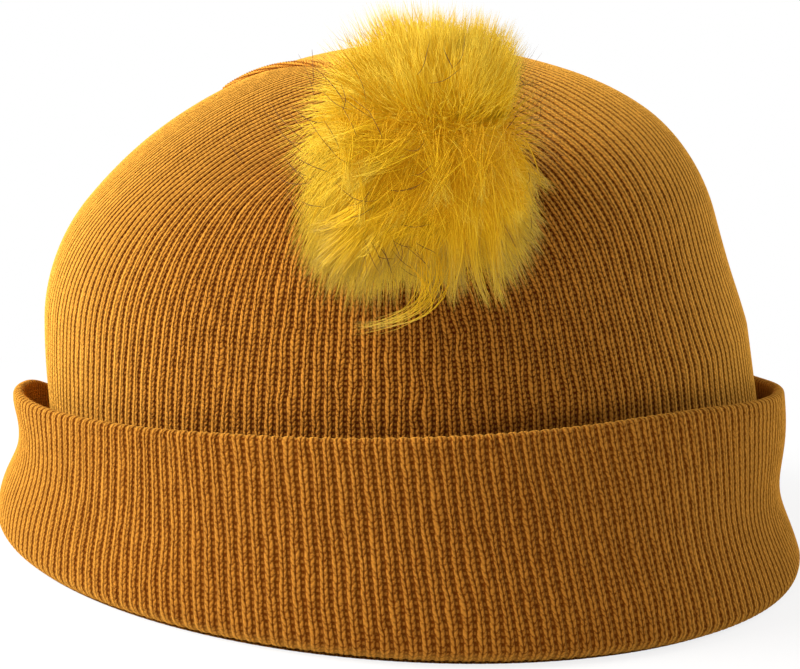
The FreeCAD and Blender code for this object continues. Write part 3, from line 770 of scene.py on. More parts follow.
# %% Turned pieces
def turned_piece(name, place, corners, wobble, steps=96):
    """A closed piece turned from a section of radii and heights round a place's axis."""
    origin, across, over, axis = place
    clear_selection()
    turn = 2 * math.pi * np.arange(steps) / steps
    corners = np.array(corners)
    radius, height = wobble(turn[:, None], corners[:, 0][None], corners[:, 1][None])
    radius, height = np.broadcast_arrays(radius + 0 * turn[:, None], height + 0 * turn[:, None])
    way = np.cos(turn)[:, None, None] * across + np.sin(turn)[:, None, None] * over
    points = origin + height[..., None] * axis + radius[..., None] * way
    count = len(corners)
    faces = [(k * count + j, k * count + (j + 1) % count,
              (k + 1) % steps * count + (j + 1) % count, (k + 1) % steps * count + j)
             for k in range(steps) for j in range(count)]
    mesh = bpy.data.meshes.new(name)
    mesh.from_pydata((points.reshape(-1, 3) * mm).tolist(), [], faces)
    piece = new_piece(name, mesh)
    finish_mesh(piece, merge=0.001, sharp=50.0)
    return piece


# %% Felt washer
seat_gap, washer_radius = 0.3, 13.0
washer_top = math.sqrt((crown.top - wall_thickness) ** 2 - washer_radius ** 2) - seat_gap


def felt_wobble(turn, radius, height):
    edge = smooth_step(radius, 8.0, 13.0)
    return (radius - edge * (0.25 + 0.18 * np.sin(9 * turn) * np.sin(4 * turn + 1)),
            height - 0.06 * (1 + np.sin(5 * turn + radius)))


# The washer's section: radii, and depths below its top.
WASHER_SECTION = ((4.3, 0.35), (4.7, 0.05), (7.0, 0.0), (10.0, 0.0), (12.5, 0.08), (12.95, 0.6),
                  (12.95, 1.4), (12.5, 1.9), (10.0, 1.95), (7.0, 1.95), (4.7, 1.9), (4.3, 1.5))
washer = turned_piece("felt_patch", fastening,
                      [(radius, washer_top - depth) for radius, depth in WASHER_SECTION], felt_wobble)
belong(washer, "crown", "felt", "felt_washer")

# %% Elastic loop
loop_reach, cord_radius = 2.6, 1.2
loop_rise, washer_height, button_height = 3.6, 2.0, 2.4
arch_up = crown.top + loop_rise - loop_reach
bight_up = washer_top - washer_height - seat_gap - button_height - cord_radius
button_way = np.array(joints["pom_lean"]["axis"])


def strand_place(height, off):
    return top_centre + gather_way * height + button_way * off


straight_up = np.linspace(bight_up, arch_up, 40)
half_turn = [(loop_reach * math.sin(a), loop_reach * math.cos(a)) for a in np.linspace(0, math.pi, 33)[1:-1]]
loop_line = ([strand_place(height, loop_reach) for height in straight_up]
             + [strand_place(arch_up + rise, off) for rise, off in half_turn]
             + [strand_place(height, -loop_reach) for height in straight_up[::-1]]
             + [strand_place(bight_up - rise, -off) for rise, off in half_turn])
loop = tube("elastic_loop", [loop_line], cord_radius - 0.02, 14, closed=True)
belong(loop, "loop", "elastic", "pom_loop")

# %% [markdown]
# ## The pom-pom's tie and core
# The tie goes from the loop through the mouth of the pom-pom's backing and ends in a knot, which slides
# in the wadding until it meets the stiff disc. The backing is drawn up with a thread round its mouth,
# and that thread pleats it, so the ball has folds near the mouth and is smooth on its far side.

# %% The pom-pom's place
pivot = np.array(joints["pom_lean"]["pos_m"]) / mm
tie_way = unit(np.array(joints["pom_pull"]["axis"]))
ball_side = -unit(np.array(joints["pom_lean"]["axis"]))
ball_up = np.cross(tie_way, ball_side)
pelt_radius, pom_arm = 11.0, 36.0
ball = pivot + tie_way * pom_arm
print("middle of the pom-pom: %s mm" % ball.round(1))

# %% Tie and knot
mouth_radius, disc_height, running_gap, tie_travel, knot_radius = 4.0, 1.2, 0.3, 12.0, 1.8
tie_radius, knot_turns, knot_steps = 0.78, 3, 120
mouth = pom_arm - math.sqrt(pelt_radius ** 2 - mouth_radius ** 2)
knot_out = mouth + disc_height + running_gap + tie_travel + knot_radius
tie_cord = [pivot + tie_way * d for d in np.linspace(cord_radius + running_gap, knot_out, 90)]
knot_coil = [pivot + tie_way * (knot_out - 0.75 + 0.08 * a)
             + (knot_radius - tie_radius) * (math.cos(a) * ball_side + math.sin(a) * ball_up)
             for a in np.linspace(0, 2 * math.pi * knot_turns, knot_steps)]
tie = tube("elastic_tie", [tie_cord, knot_coil], tie_radius, 10)
belong(tie, "tie", "elastic", "pom_tie")


# %% A ball with a pleated mouth
def ball_piece(name, radius, depth, opening, pleats, rough, wall):
    """A ball round the pom-pom's middle with a hole towards the crown, pleated round the hole."""
    clear_selection()
    bpy.ops.mesh.primitive_uv_sphere_add(segments=96, ring_count=48, radius=radius * mm)
    piece = bpy.context.object
    piece.name = piece.data.name = name
    points = np.array([tuple(v.co) for v in piece.data.vertices]) / mm
    away = -points[:, 2] / radius
    turn = np.arctan2(points[:, 1], points[:, 0])
    near = smooth_step(away, 0.45, 0.95)
    pleated = depth * near * (0.5 + 0.5 * np.cos(pleats * turn))
    lumpy = rough * (np.sin(5 * turn + 4 * away) * np.sin(7 * away + 2 * turn)) * (1 - near)
    points = points * (1 - pleated - lumpy)[:, None]
    for vertex, point in zip(piece.data.vertices, points):
        vertex.co = Vector(point) * mm
    bpy.ops.object.mode_set(mode="EDIT")
    bpy.ops.mesh.select_all(action="DESELECT")
    bpy.ops.object.mode_set(mode="OBJECT")
    for face in piece.data.polygons:
        middle = face.center / mm
        face.select = middle.z < 0 and math.hypot(middle.x, middle.y) < opening
    bpy.ops.object.mode_set(mode="EDIT")
    bpy.ops.mesh.select_mode(type="FACE")
    bpy.ops.mesh.delete(type="FACE")
    bpy.ops.object.mode_set(mode="OBJECT")
    turn_over = Matrix((ball_side, ball_up, tie_way)).transposed().to_4x4()
    piece.data.transform(Matrix.Translation(Vector(ball) * mm) @ turn_over)
    apply(piece, "SOLIDIFY", thickness=wall * mm, offset=-1.0)
    return piece


# %% Backing and wadding
pelt = ball_piece("pelt_backing", 10.95, 0.05, mouth_radius, 14, 0.012, wall=1.25)
finish_mesh(pelt)
belong(pelt, "pom", "pelt_backing", "pom_pelt")
wadding = ball_piece("wadding", 9.2, 0.03, 3.3, 9, 0.02, wall=3.4)
finish_mesh(wadding)
belong(wadding, "pom", "wadding", "pom_filling")

# %% Gathering thread
thread_radius, thread_ring_radius, thread_out = 0.25, 5.0, 11.65
thread_ring = ring_line((pivot, ball_side, ball_up, tie_way), thread_ring_radius,
                        pom_arm - math.sqrt(thread_out ** 2 - thread_ring_radius ** 2), 280)
thread = tube("gather_thread", twisted_pair(thread_ring, thread_radius, 1.5, closed=True),
              thread_radius, 6, closed=True)
belong(thread, "pom", "thread", "pom_gather_thread")

# %% [markdown]
# ## The pom-pom's fur
# Faux fur is a pile of fibres knitted into a backing. The backing is drawn up into a ball, so the fibres
# stand out all round it, part at the front, and then lie the way they were brushed: up above the parting
# and down below it. Blender has hair curves for this, but a printed or exported model needs faces, so
# each fibre here is a thin three-sided spike of a few segments, and neighbours lean together in locks.

# %% Where the pile reaches
# How far the brushed pile reaches from the pom-pom's middle, in degrees round it and millimetres.
PILE = ((0, 12), (20, 13.5), (38, 21), (50, 29), (70, 27), (90, 29.5), (112, 31.5), (130, 33), (155, 34),
        (180, 33.5), (205, 36), (222, 42), (234, 44), (250, 39), (264, 36), (275, 38), (286, 39), (298, 33),
        (312, 28), (328, 23), (342, 16), (352, 13))
pile_front, pile_back = 20.5, 23.0


def pile_reach(angle):
    """How far the pile reaches at right angles to the tie; 0 is to the side and 90 upwards."""
    turned = np.degrees(angle) % 360
    spread = np.linspace(-7, 7, 5)
    return sum(np.interp(turned + step, *zip(*PILE), period=360) for step in spread) / len(spread)


print("pile: %.0f to %.0f mm" % (min(reach for _, reach in PILE), max(reach for _, reach in PILE)))


# %% Spikes
SPIKE_SIDES = 3


def spike_rings(paths, widths):
    """Three points round each point of each path but its last, which is the tip."""
    tangent = unit(np.gradient(paths, axis=1))
    helper = np.where(np.abs(tangent[..., 2:3]) < 0.8, np.array([0, 0, 1.0]), np.array([1.0, 0, 0]))
    first = unit(np.cross(tangent, helper))
    second = np.cross(tangent, first)
    around = np.arange(SPIKE_SIDES) * 2 * math.pi / SPIKE_SIDES
    ring = (paths[:, :-1, None] + widths[:, :-1, None, None] * (
        np.cos(around)[:, None] * first[:, :-1, None] + np.sin(around)[:, None] * second[:, :-1, None]))
    return np.concatenate([ring.reshape(len(paths), -1, 3), paths[:, -1:]], axis=1)


def spike_faces(count, steps, each):
    """The four-sided faces, then the three-sided ones, of count spikes that have each points."""
    quads = [(step * 3 + k, step * 3 + (k + 1) % 3, step * 3 + 3 + (k + 1) % 3, step * 3 + 3 + k)
             for step in range(steps - 2) for k in range(SPIKE_SIDES)]
    last = (steps - 2) * SPIKE_SIDES
    triangles = [(last + k, last + (k + 1) % 3, each - 1) for k in range(SPIKE_SIDES)] + [(2, 1, 0)]
    starts = np.arange(count)[:, None, None] * each
    return [(np.array(faces)[None] + starts).reshape(-1, len(faces[0])) for faces in (quads, triangles)]


def spikes(name, paths, widths, marks):
    """One piece of tapered spikes; marks is the colour attribute, one for each path point."""
    count, steps = paths.shape[:2]
    points = spike_rings(paths, widths)
    colours = np.concatenate([np.repeat(marks[:, :-1], SPIKE_SIDES, axis=1), marks[:, -1:]], axis=1)
    each = points.shape[1]
    quads, triangles = spike_faces(count, steps, each)
    mesh = bpy.data.meshes.new(name)
    mesh.vertices.add(count * each)
    mesh.vertices.foreach_set("co", (points * mm).astype(np.float32).ravel())
    corners = np.concatenate([quads.ravel(), triangles.ravel()]).astype(np.int32)
    mesh.loops.add(len(corners))
    mesh.loops.foreach_set("vertex_index", corners)
    mesh.polygons.add(len(quads) + len(triangles))
    sizes = np.concatenate([np.full(len(quads), 4), np.full(len(triangles), 3)])
    mesh.polygons.foreach_set("loop_start", np.concatenate([[0], np.cumsum(sizes)[:-1]]).astype(np.int32))
    mesh.update(calc_edges=True)
    attribute = mesh.color_attributes.new("fibre", "FLOAT_COLOR", "POINT")
    colours = np.concatenate([colours, np.ones((count, each, 1))], axis=2)
    attribute.data.foreach_set("color", colours.astype(np.float32).ravel())
    mesh.polygons.foreach_set("use_smooth", np.ones(len(mesh.polygons), dtype=bool))
    piece = new_piece(name, mesh)
    belong(piece, "pom", "faux_fur", "pom_fur")
    return piece


# %% What every fibre needs
def tapered(dice, width, paths, at, shape, most=1.2):
    """Half widths along each path: a shape that is given by its values at some parts of the way."""
    count, steps = paths.shape[:2]
    return width * np.interp(np.linspace(0, 1, steps), at, shape)[None] * dice.uniform(0.7, most, (count, 1))


def marked(along, draw, smoky):
    """The colour attribute: how far along its fibre a point is, the fibre's draw and its smokiness, partly
    painted shade.
    """
    return np.stack(np.broadcast_arrays(along[None], draw, smoky), axis=2)


def bent_way(t, root, knee, shin, tip):
    """A curve that leaves its root towards the knee and comes to its tip from the shin."""
    return root * (1 - t) ** 3 + 3 * knee * t * (1 - t) ** 2 + 3 * shin * t ** 2 * (1 - t) + tip * t ** 3


# %% Combing
def comb(way):
    """Where a fibre rooted in a direction is brushed to, and how strongly, from -1 down to 1 up."""
    parting = 0.58 - 0.25 * way[:, 0] + 0.10 * np.sin(5 * way[:, 0] + 1)
    up = smooth_step(way[:, 1] - parting, -0.60, 0.40) * 2 - 1
    brushed = way.copy()
    brushed[:, 1] += np.where(up > 0, 0.9, 1.35) * up
    brushed[:, 0] += 0.25 * (way[:, 0] + 0.12)
    brushed[:, 2] *= 1 - 0.25 * np.abs(up)
    return unit(brushed), up


def to_world(local):
    return ball + local[..., 0:1] * ball_side + local[..., 1:2] * ball_up + local[..., 2:3] * tie_way


# %% Locks that the fibres lean to
lock_dice = np.random.RandomState(11)
lock_count = 360
lock_way = unit(lock_dice.normal(size=(lock_count, 3)))
lock_reach = lock_dice.uniform(0.78, 1.04, lock_count)
lock_wave = lock_dice.uniform(0, 2 * math.pi, (lock_count, 2))
lock_tip = unit(comb(lock_way)[0] + lock_dice.normal(size=(lock_count, 3)) * np.array([0.22, 0.15, 0.2]))
split_angle, split_push, split_width = deg(-88), deg(3.5), deg(8)
print("locks:", lock_count)


# %% Clear of the crown
def clear_of_crown(paths, dice, least):
    """Pushes places out of the crown, in world millimetres: outwards, or forwards below the ball."""
    off = paths - top_centre
    clear = crown.top + least + dice.uniform(0, 2.5, size=(len(paths), 1, 1))
    below = 0.35 * smooth_step((paths - ball) @ -ball_up, 4, 18)[..., None]
    way = unit(unit(off) * (1 - below) + tie_way * below)
    along = np.sum(off * way, axis=2, keepdims=True)
    missing = clear ** 2 - np.sum(off * off, axis=2, keepdims=True)
    return paths + np.where(missing > 0, np.sqrt(along ** 2 + np.maximum(missing, 0)) - along, 0) * way


# %% Fibres
def fibre_roots(dice, count, fan):
    """Directions that fibres are rooted in: all over the ball but its mouth, or only in a fan."""
    way = unit(dice.normal(size=(count, 3)))
    if fan:
        turned = dice.uniform(deg(fan[0]), deg(fan[1]), count)
        way = unit(np.stack([np.cos(turned), np.sin(turned), dice.uniform(-0.2, 0.6, count)], axis=1))
    return way[way[:, 2] > -0.90]


# For each axis: how far the fibres wave along it, which of a lock's two phases and how much of it they
# take, and how many radians they wave through.
WAVES = ((1.0, 0, 1.0, 6.0), (0.5, 1, 1.3, 7.5), (0.8, 1, 1.0, 6.5))


def waving(paths, t, phase, swell):
    """Lets the fibres of a lock wave together, more towards their tips."""
    for axis, (much, which, rate, waves) in enumerate(WAVES):
        paths[..., axis] += much * swell * np.sin(phase[..., which] * rate + waves * t[..., 0])
    return paths


def fibres(name, count, seed, width, low, high, mess, smoky=0.0, steps=6, fan=None, fluff=0.0):
    """Fibres rooted all over the ball, or only in a fan of angles, that reach low to high of the pile."""
    dice = np.random.RandomState(seed)
    way = fibre_roots(dice, count, fan)
    count = len(way)
    lock = np.argmax((way + dice.normal(size=(count, 3)) * 0.05) @ lock_way.T, axis=1)
    own, up = comb(way)
    own = unit(own * (1 - fluff) + way * fluff)
    share = (1 - fluff) * (0.50 + 0.26 * np.abs(up))[:, None] * (0.2 if fan else 1.0)
    tip_way = unit(own * (1 - share) + lock_tip[lock] * share + dice.normal(size=(count, 3)) * mess)
    angle = np.arctan2(tip_way[:, 1], tip_way[:, 0])
    beside = angle_off(angle, split_angle)
    angle = angle + np.sign(beside) * split_push * np.exp(-(beside / split_width) ** 2)
    flat = np.hypot(tip_way[:, 0], tip_way[:, 1])
    reach = lock_reach[lock] * dice.uniform(low, high, count)
    far = pile_reach(angle) * flat * reach
    depth = np.where(tip_way[:, 2] > 0, pile_front, pile_back) * tip_way[:, 2] * reach
    if fan:
        far, depth = dice.uniform(16, 27, count), depth * 0.6
    tip = np.stack([far * np.cos(angle), far * np.sin(angle), depth], axis=1)
    root = way * (pelt_radius - 0.5)
    span = np.linalg.norm(tip - root, axis=1, keepdims=True)
    knee = root + way * np.minimum(span * 0.42, 9.0)
    droop = np.where(up > 0, 0.5, 1.6)[:, None] * up[:, None]
    shin = tip - unit(unit(tip) + np.array([0, 1.0, 0]) * droop) * span * 0.36
    t = np.linspace(0, 1, steps)[None, :, None]
    paths = bent_way(t, root[:, None], knee[:, None], shin[:, None], tip[:, None])
    phase = lock_wave[lock][:, None, :] + dice.normal(size=(count, 1, 2)) * 0.6
    paths = waving(paths, t, phase, t[..., 0] * dice.uniform(0.4, 1.0, (count, 1)))
    paths = clear_of_crown(to_world(paths), dice, 2.1)
    widths = tapered(dice, width, paths, [0, 0.3, 0.7, 1.0], [0.8, 1.0, 0.7, 0.0], most=1.25)
    # Smoky tips on the fringe, mostly below the ball and on the side that ball_side points to: partly the
    # fur's own grey tips and partly painted shade on the side away from the key lamp.
    fringe = smooth_step(far / pile_reach(angle), 0.80, 0.98)
    lower = smooth_step(-np.sin(angle), 0.45, 0.95) + smooth_step(np.cos(angle), 0.5, 0.95) * 0.7
    smoke_and_shade = np.clip(fringe * lower * dice.uniform(0, 1.1, count) + smoky, 0, 1)
    marks = marked(np.linspace(0, 1, steps), dice.uniform(0, 1, (count, 1)), smoke_and_shade[:, None])
    return spikes(name, paths, widths, marks)


# %% Undercoat, topcoat and wisps
fur_pieces = [fibres("fur_undercoat_%d" % (k + 1), 8500, 31 + k, 0.12, 0.62, 0.92, 0.20, steps=5, fluff=0.55)
              for k in range(2)]
fur_pieces += [fibres("fur_topcoat_%d" % (k + 1), 7000, 51 + k, 0.10, 0.82, 1.0, mess)
               for k, mess in enumerate((0.05, 0.08, 0.16))]
wisps = fibres("fur_wisps", 560, 81, 0.055, 0.9, 1.0, 0.25, smoky=0.95, fan=(-22, 50))

# %% [markdown]
# ## Locks and stray hairs
# A few hairs of real-looking fur are stiffer and darker: guard hairs, that lie across the pile in small
# groups wherever a hand has ruffled it. The longest fibres hang together in locks, short locks lie across
# each other along the parting, and one lock has come loose and sweeps aside.

# %% Guard hairs
def front_of_pile(side, up):
    """How far along the tie the front of the pile lies at a place across it."""
    flat = np.hypot(side, up) / pile_reach(np.arctan2(up, side))
    return 0.90 * pile_front * np.sqrt(np.clip(1 - flat ** 2, 0, 1))


def guard_hairs(name, groups, seed, width=0.07, steps=7):
    """Short dark hairs; each group has a middle, a spread, a heading in degrees and a number of hairs."""
    dice = np.random.RandomState(seed)
    t = np.linspace(-0.5, 0.5, steps)
    lines = []
    for side, up, wide, slope, count in groups:
        for _ in range(count):
            x, y = side + dice.normal() * wide, up + dice.normal() * wide
            heading = deg(slope + dice.normal() * 32)
            run = t * dice.uniform(3.5, 7.5)
            off = dice.normal() * 0.35 * (4 * t * t - 1)
            x = x + run * math.cos(heading) - off * math.sin(heading)
            y = y + run * math.sin(heading) + off * math.cos(heading)
            dip = 3.0 * np.clip(-2 * t, 0, 1) ** 2 - 0.8
            lines.append(np.stack([x, y, front_of_pile(x, y) - dip], axis=1))
    paths = clear_of_crown(to_world(np.array(lines)), dice, 2.2)
    widths = tapered(dice, width, paths, [0, 0.25, 0.7, 1], [0.5, 1.0, 0.8, 0.0])
    draw = dice.uniform(0, 1, (len(paths), 1))
    return spikes(name, paths, widths, marked(np.linspace(0, 1, steps), draw, np.ones((len(paths), 1))))


# For each group: its middle across the tie, its spread, its heading and its number of hairs.
GUARD_HAIRS = ((-12, -13, 3.5, -50, 16), (-21, 16, 3, -60, 10), (-26, 12, 2.5, -35, 7),
               (-29, 1, 3.5, -45, 8), (-20, -3, 2.5, 30, 5), (17, 4, 3.0, 40, 12),
               (-10, 3, 3, 20, 4), (2, 20, 5, 70, 4), (12, -18, 5, -60, 5))
strays = guard_hairs("fur_guard_hairs", GUARD_HAIRS, 97)


# %% Locks
def locks(name, rows, seed, width=0.09, steps=8, smoky=0.8):
    """Fibres that lie together along curves; a row has four knots, a spread and a number of fibres."""
    dice = np.random.RandomState(seed)
    t = np.linspace(0, 1, steps)
    knot_spread = np.array([[1.8], [1.4], [1], [0.8]])
    lines = []
    for knots, wide, count in rows:
        for _ in range(count):
            part = (t * dice.uniform(0.82, 1.0))[:, None]
            pulled = np.array(knots, float) + dice.normal(size=(4, 3)) * wide * knot_spread
            lines.append(bent_way(part, *pulled))
    paths = clear_of_crown(to_world(np.array(lines)), dice, 2.2)
    widths = tapered(dice, width, paths, [0, 0.3, 0.7, 1], [0.8, 1.0, 0.7, 0.0])
    draw = dice.uniform(0, 1, (len(paths), 1))
    marks = marked(0.2 + 0.8 * t, draw, dice.uniform(0, smoky, (len(paths), 1)))
    return spikes(name, paths, widths, marks)


# %% Hanging locks
lock_spread, lock_fibres = 1.1, 60


def over_crown(side, up, clear):
    """How far along the tie a place at side and up lies when it is clear of the crown."""
    off = ball + side * ball_side + up * ball_up - top_centre
    along, reach = off @ tie_way, crown.top + clear
    return math.sqrt(max(along ** 2 - off @ off + reach ** 2, 0)) - along


def hanging(tips, seed):
    """Long locks that hang down the front of the pile to their tips, which lie on the crown."""
    dice = np.random.RandomState(seed)
    rows = []
    for side, up in tips:
        for share in (0.84, 1.0):
            x, y = side * share + dice.normal() * 1.0, up * share + dice.normal() * 0.8
            knots = [(0.40 * x + dice.normal() * 2, -2 + dice.normal() * 3, -3.5, 0),
                     (0.72 * x + dice.normal() * 1.2, 0.45 * y, 1.0, 4), (0.93 * x, 0.80 * y, -3, 3),
                     (x, y, -9, 1)]
            places = [(a, b, max(front_of_pile(a, b) + lift, over_crown(a, b, clear)))
                      for a, b, lift, clear in knots]
            rows.append((places, lock_spread, lock_fibres))
    return rows


HANGING_TIPS = ((-28.5, -15), (-28.3, -17.5), (-28, -20), (-27.5, -22), (-25.5, -23.5), (-22.5, -23.7),
                (-19.5, -23.3), (-16.5, -23), (-13.5, -23.2), (-11, -23.8), (-8.5, -24.2), (-3.5, -26),
                (-1.5, -26.7), (1, -27.3), (3.5, -27), (6, -25.8), (9, -23.8), (12, -21.8), (15, -19.5),
                (18, -17), (20, -14.5))
hanging_locks = locks("fur_hanging_locks", hanging(HANGING_TIPS, 71), 72)


# %% Locks across the parting
swirl_spread, swirl_fibres = 1.5, 60
swirl_lifts = (-5, -0.5, 0.3, -0.5)


def swirling(places, seed):
    """Short locks that lie across each other along the parting; a place has a heading and a length."""
    dice = np.random.RandomState(seed)
    rows = []
    for side, up, heading, length in places:
        turns = np.radians(np.cumsum(np.array([0, 18, -12]) + dice.normal(size=3) * 10) + heading)
        ways = np.cumsum(np.stack([np.cos(turns), np.sin(turns)], axis=1), axis=0)
        run = np.array([[side, up]] * 4) + np.vstack([[0, 0], ways]) * length / 3
        knots = [(x, y, front_of_pile(x, y) + lift) for (x, y), lift in zip(run, swirl_lifts)]
        rows.append((knots, swirl_spread, swirl_fibres))
    return rows


SWIRLS = ((-17, 11, 215, 15), (-13, 10, 235, 14), (-9, 8, 205, 14), (-5, 7, 250, 13), (-1, 5, 225, 13),
          (3, 5, 270, 13), (6, 3, 300, 12), (9, 1, 320, 11), (-14, 8, 150, 12), (-16, 4, 235, 14),
          (-10, 2, 250, 13), (-4, 0, 280, 13), (3, -2, 240, 13), (8, -3, 290, 12), (-12, -4, 225, 14))
swirl_locks = locks("fur_swirl_locks", swirling(SWIRLS, 73), 74, smoky=0.1)

# %% The loose lock
LOOSE_LOCK = ((-7, -14, 15), (-5, -25, 21), (-14, -27, 22), (-26, -27, 19))
loose_lock = locks("fur_loose_lock", [(LOOSE_LOCK, 1.3, 34)], 98, width=0.075, steps=9)
fur_pieces += [wisps, hanging_locks, swirl_locks, loose_lock]
print("fur:", sum(len(piece.data.polygons) for piece in fur_pieces), "faces")

# %% [markdown]
# ## Writing finishes as sums
# A finish in Blender is a web of nodes. Wired by hand it is hard to read, so a small class wraps the
# output of a node: plus, minus, times and so on add the Math node that does it. Every other kind of node
# comes from one method, which sets the node's own settings first and then its sockets.

# %% Node arithmetic
class Wire:
    """The output of a node; sums on it add Math nodes."""

    def __init__(self, web, socket):
        self.web, self.socket = web, socket

    def math(self, operation, *values):
        return self.web.node("Math", {"operation": operation}, dict(enumerate(values)))

    def __add__(self, other):
        return self.math("ADD", self, other)

    __radd__ = __add__

    def __sub__(self, other):
        return self.math("SUBTRACT", self, other)

    def __rsub__(self, other):
        return self.math("SUBTRACT", other, self)

    def __mul__(self, other):
        return self.math("MULTIPLY", self, other)

    __rmul__ = __mul__

    def __pow__(self, other):
        return self.math("POWER", self, other)

    def fraction(self):
        return self.math("FRACT", self)

    def floor(self):
        return self.math("FLOOR", self)

    def size(self):
        return self.math("ABSOLUTE", self)

    def most(self, other):
        return self.math("MAXIMUM", self, other)

    def wave(self):
        """A cosine that runs from 0 to 1 and back once for each whole number."""
        return self.math("COSINE", self * (2 * math.pi)) * 0.5 + 0.5

    def between(self, low, high):
        """0 below low, 1 above high, and a smooth step between them."""
        return self.web.node("MapRange", {"interpolation_type": "SMOOTHSTEP"},
                             {"Value": self, "From Min": low, "From Max": high})


# %% Webs and finishes
class Web:
    """A web of nodes, in a finish or in the room."""

    def __init__(self, tree):
        self.tree = tree

    def plug(self, socket, value):
        if isinstance(value, Wire):
            self.tree.links.new(value.socket, socket)
        elif hasattr(socket.default_value, "__len__") and len(value) == 3 and len(socket.default_value) == 4:
            socket.default_value = (*value, 1.0)
        else:
            socket.default_value = value

    def node(self, kind, settings=None, sockets=None, output=0):
        """Adds a node: its settings first, then its sockets. Where output is None, it gives all of them."""
        made = self.tree.nodes.new("ShaderNode" + kind)
        for setting, value in (settings or {}).items():
            setattr(made, setting, value)
        for socket, value in (sockets or {}).items():
            self.plug(made.inputs[socket], value)
        if output is None:
            return [Wire(self, each) for each in made.outputs]
        return Wire(self, made.outputs[output])


class Finish(Web):
    """A material with its Principled shader."""

    def __init__(self, name, **sockets):
        self.material = bpy.data.materials.new(name)
        self.material.use_nodes = True
        super().__init__(self.material.node_tree)
        self.shader = self.tree.nodes["Principled BSDF"]
        for socket, value in sockets.items():
            self.plug(self.shader.inputs[socket.replace("_", " ")], value)

    def blend(self, factor, first, second, way="MIX"):
        """A colour between two colours, or one colour laid on another by way."""
        return self.node("Mix", {"data_type": "RGBA", "blend_type": way, "clamp_factor": True},
                         {0: factor, 6: first, 7: second}, output=2)

    def split(self, vector):
        return self.node("SeparateXYZ", None, {0: vector}, output=None)

    def place(self, which="Object"):
        return self.node("TexCoord", output=which)

    def grain(self, scale, detail=2.0, stretch=None, roughness=0.5):
        """Noise from 0 to 1 on the piece's own coordinates, a number of grains to the metre."""
        where = self.place()
        if stretch:
            where = self.node("Mapping", None, {"Vector": where, "Scale": stretch})
        return self.node("TexNoise", None, {"Vector": where, "Scale": scale, "Detail": detail,
                                            "Roughness": roughness})

    def relief(self, height, depth):
        """Bumps depth millimetres high where height is 1."""
        bump = self.node("Bump", None, {"Height": height, "Distance": depth * mm, "Strength": 1.0})
        self.plug(self.shader.inputs["Normal"], bump)

    def colour(self, value):
        self.plug(self.shader.inputs["Base Color"], value)


# %% Putting a finish on
def wear(piece, finish):
    piece.data.materials.clear()
    piece.data.materials.append(finish.material)


# %% [markdown]
# ## The finish of rib knit
# Looked at closely, each rib is a column of V stitches: two strands slant down to a dot in the middle,
# and between two ribs lies a deep channel where the backs of the other stitches show as small bumps. The
# colour paints shade into the knit: the channel, the dot, the lines between stitches and plies, and one
# leg of each rib are darker than the yarn is. The UV map counts ribs across and courses up, so a
# position inside one stitch is just the fraction left over. Wool is fuzzy, so a painted sheen in the
# colour lightens it where it is seen edge on.

# %% Rib knit finish
wool_sheen = (1.0, 0.62, 0.18)


def rib_knit(name, strand, channel_shade, edge_sheen=0.74):
    """Knit: strand colour over painted shade in its channels; the last argument is how much painted sheen
    pales it edge on.
    """
    finish = Finish(name, Roughness=1.0, Sheen_Weight=0.12, Sheen_Roughness=0.5, Sheen_Tint=wool_sheen,
                    Specular_IOR_Level=0.0)
    across, up, _ = finish.split(finish.place("UV"))
    across = across + (finish.grain(420.0, 1.0) - 0.5) * 0.27
    course_place = up + (finish.grain(300.0, 1.0) - 0.5) * 0.7
    rib = across.fraction()
    off_middle = (rib - 0.5).size()
    slanted = course_place - off_middle * 2.2
    stitch = slanted.wave()
    leg = 1.0 - ((off_middle - 0.185).size() * 5.3).between(0.30, 1.10)
    dot = (1.0 - off_middle.between(0.01, 0.09)) * (course_place + 0.35).wave().between(0.2, 0.8)
    purl = off_middle.between(0.37, 0.45) * (course_place + 0.5).wave().between(0.1, 0.9)
    ply = (slanted * 2.0 + off_middle * 5.0 + (finish.grain(900.0, 1.0) - 0.5) * 1.2).wave()
    legs = finish.node("CombineXYZ", None, {0: (across * 2.0).floor(), 1: (slanted + 0.5).floor()})
    lot = finish.node("TexWhiteNoise", {"noise_dimensions": "2D"}, {"Vector": legs})
    fibres = finish.grain(4600.0, 3.0, roughness=0.75)
    height = leg * (0.32 + 0.40 * stitch + 0.14 * ply) - dot * 0.16 + purl * 0.20 + fibres * 0.4
    finish.relief(height, 0.36)
    # Painted shade: one leg of each rib is darkened as if the lamp on the left lit only the other, and the
    # lines between stitches and between plies are darkened too.
    shaded_leg = (rib - 0.5).between(-0.02, 0.08) * 0.14
    lit = 0.36 + 0.42 * stitch.between(0.0, 0.6) + 0.22 * ply + (lot - 0.5) * 0.40 - shaded_leg
    shade = leg * lit + purl * 0.46 - dot * 0.20 + (fibres - 0.5) * 0.80
    # Painted shade: the channels between ribs and the holes in the stitches take the darker colour.
    colour = finish.blend(shade.between(-0.08, 1.0), channel_shade, strand)
    patch = finish.grain(30.0, 3.0).between(0.35, 0.7) * 0.20
    colour = finish.blend(patch, colour, (0.62, 0.50, 0.42), "MULTIPLY")
    fuzz = finish.grain(2600.0, 4.0, roughness=0.75).between(0.54, 0.74)
    colour = finish.blend(fuzz * 0.18, colour, (0.80, 0.42, 0.075))
    # Painted sheen: the colour turns paler where the knit is seen edge on, for the light that its fuzz
    # catches.
    facing = finish.node("LayerWeight", None, {"Blend": 0.35}, output=1)
    colour = finish.blend(facing.between(0.14, 0.72) * edge_sheen, colour, (0.86, 0.42, 0.06))
    finish.colour(colour)
    return finish


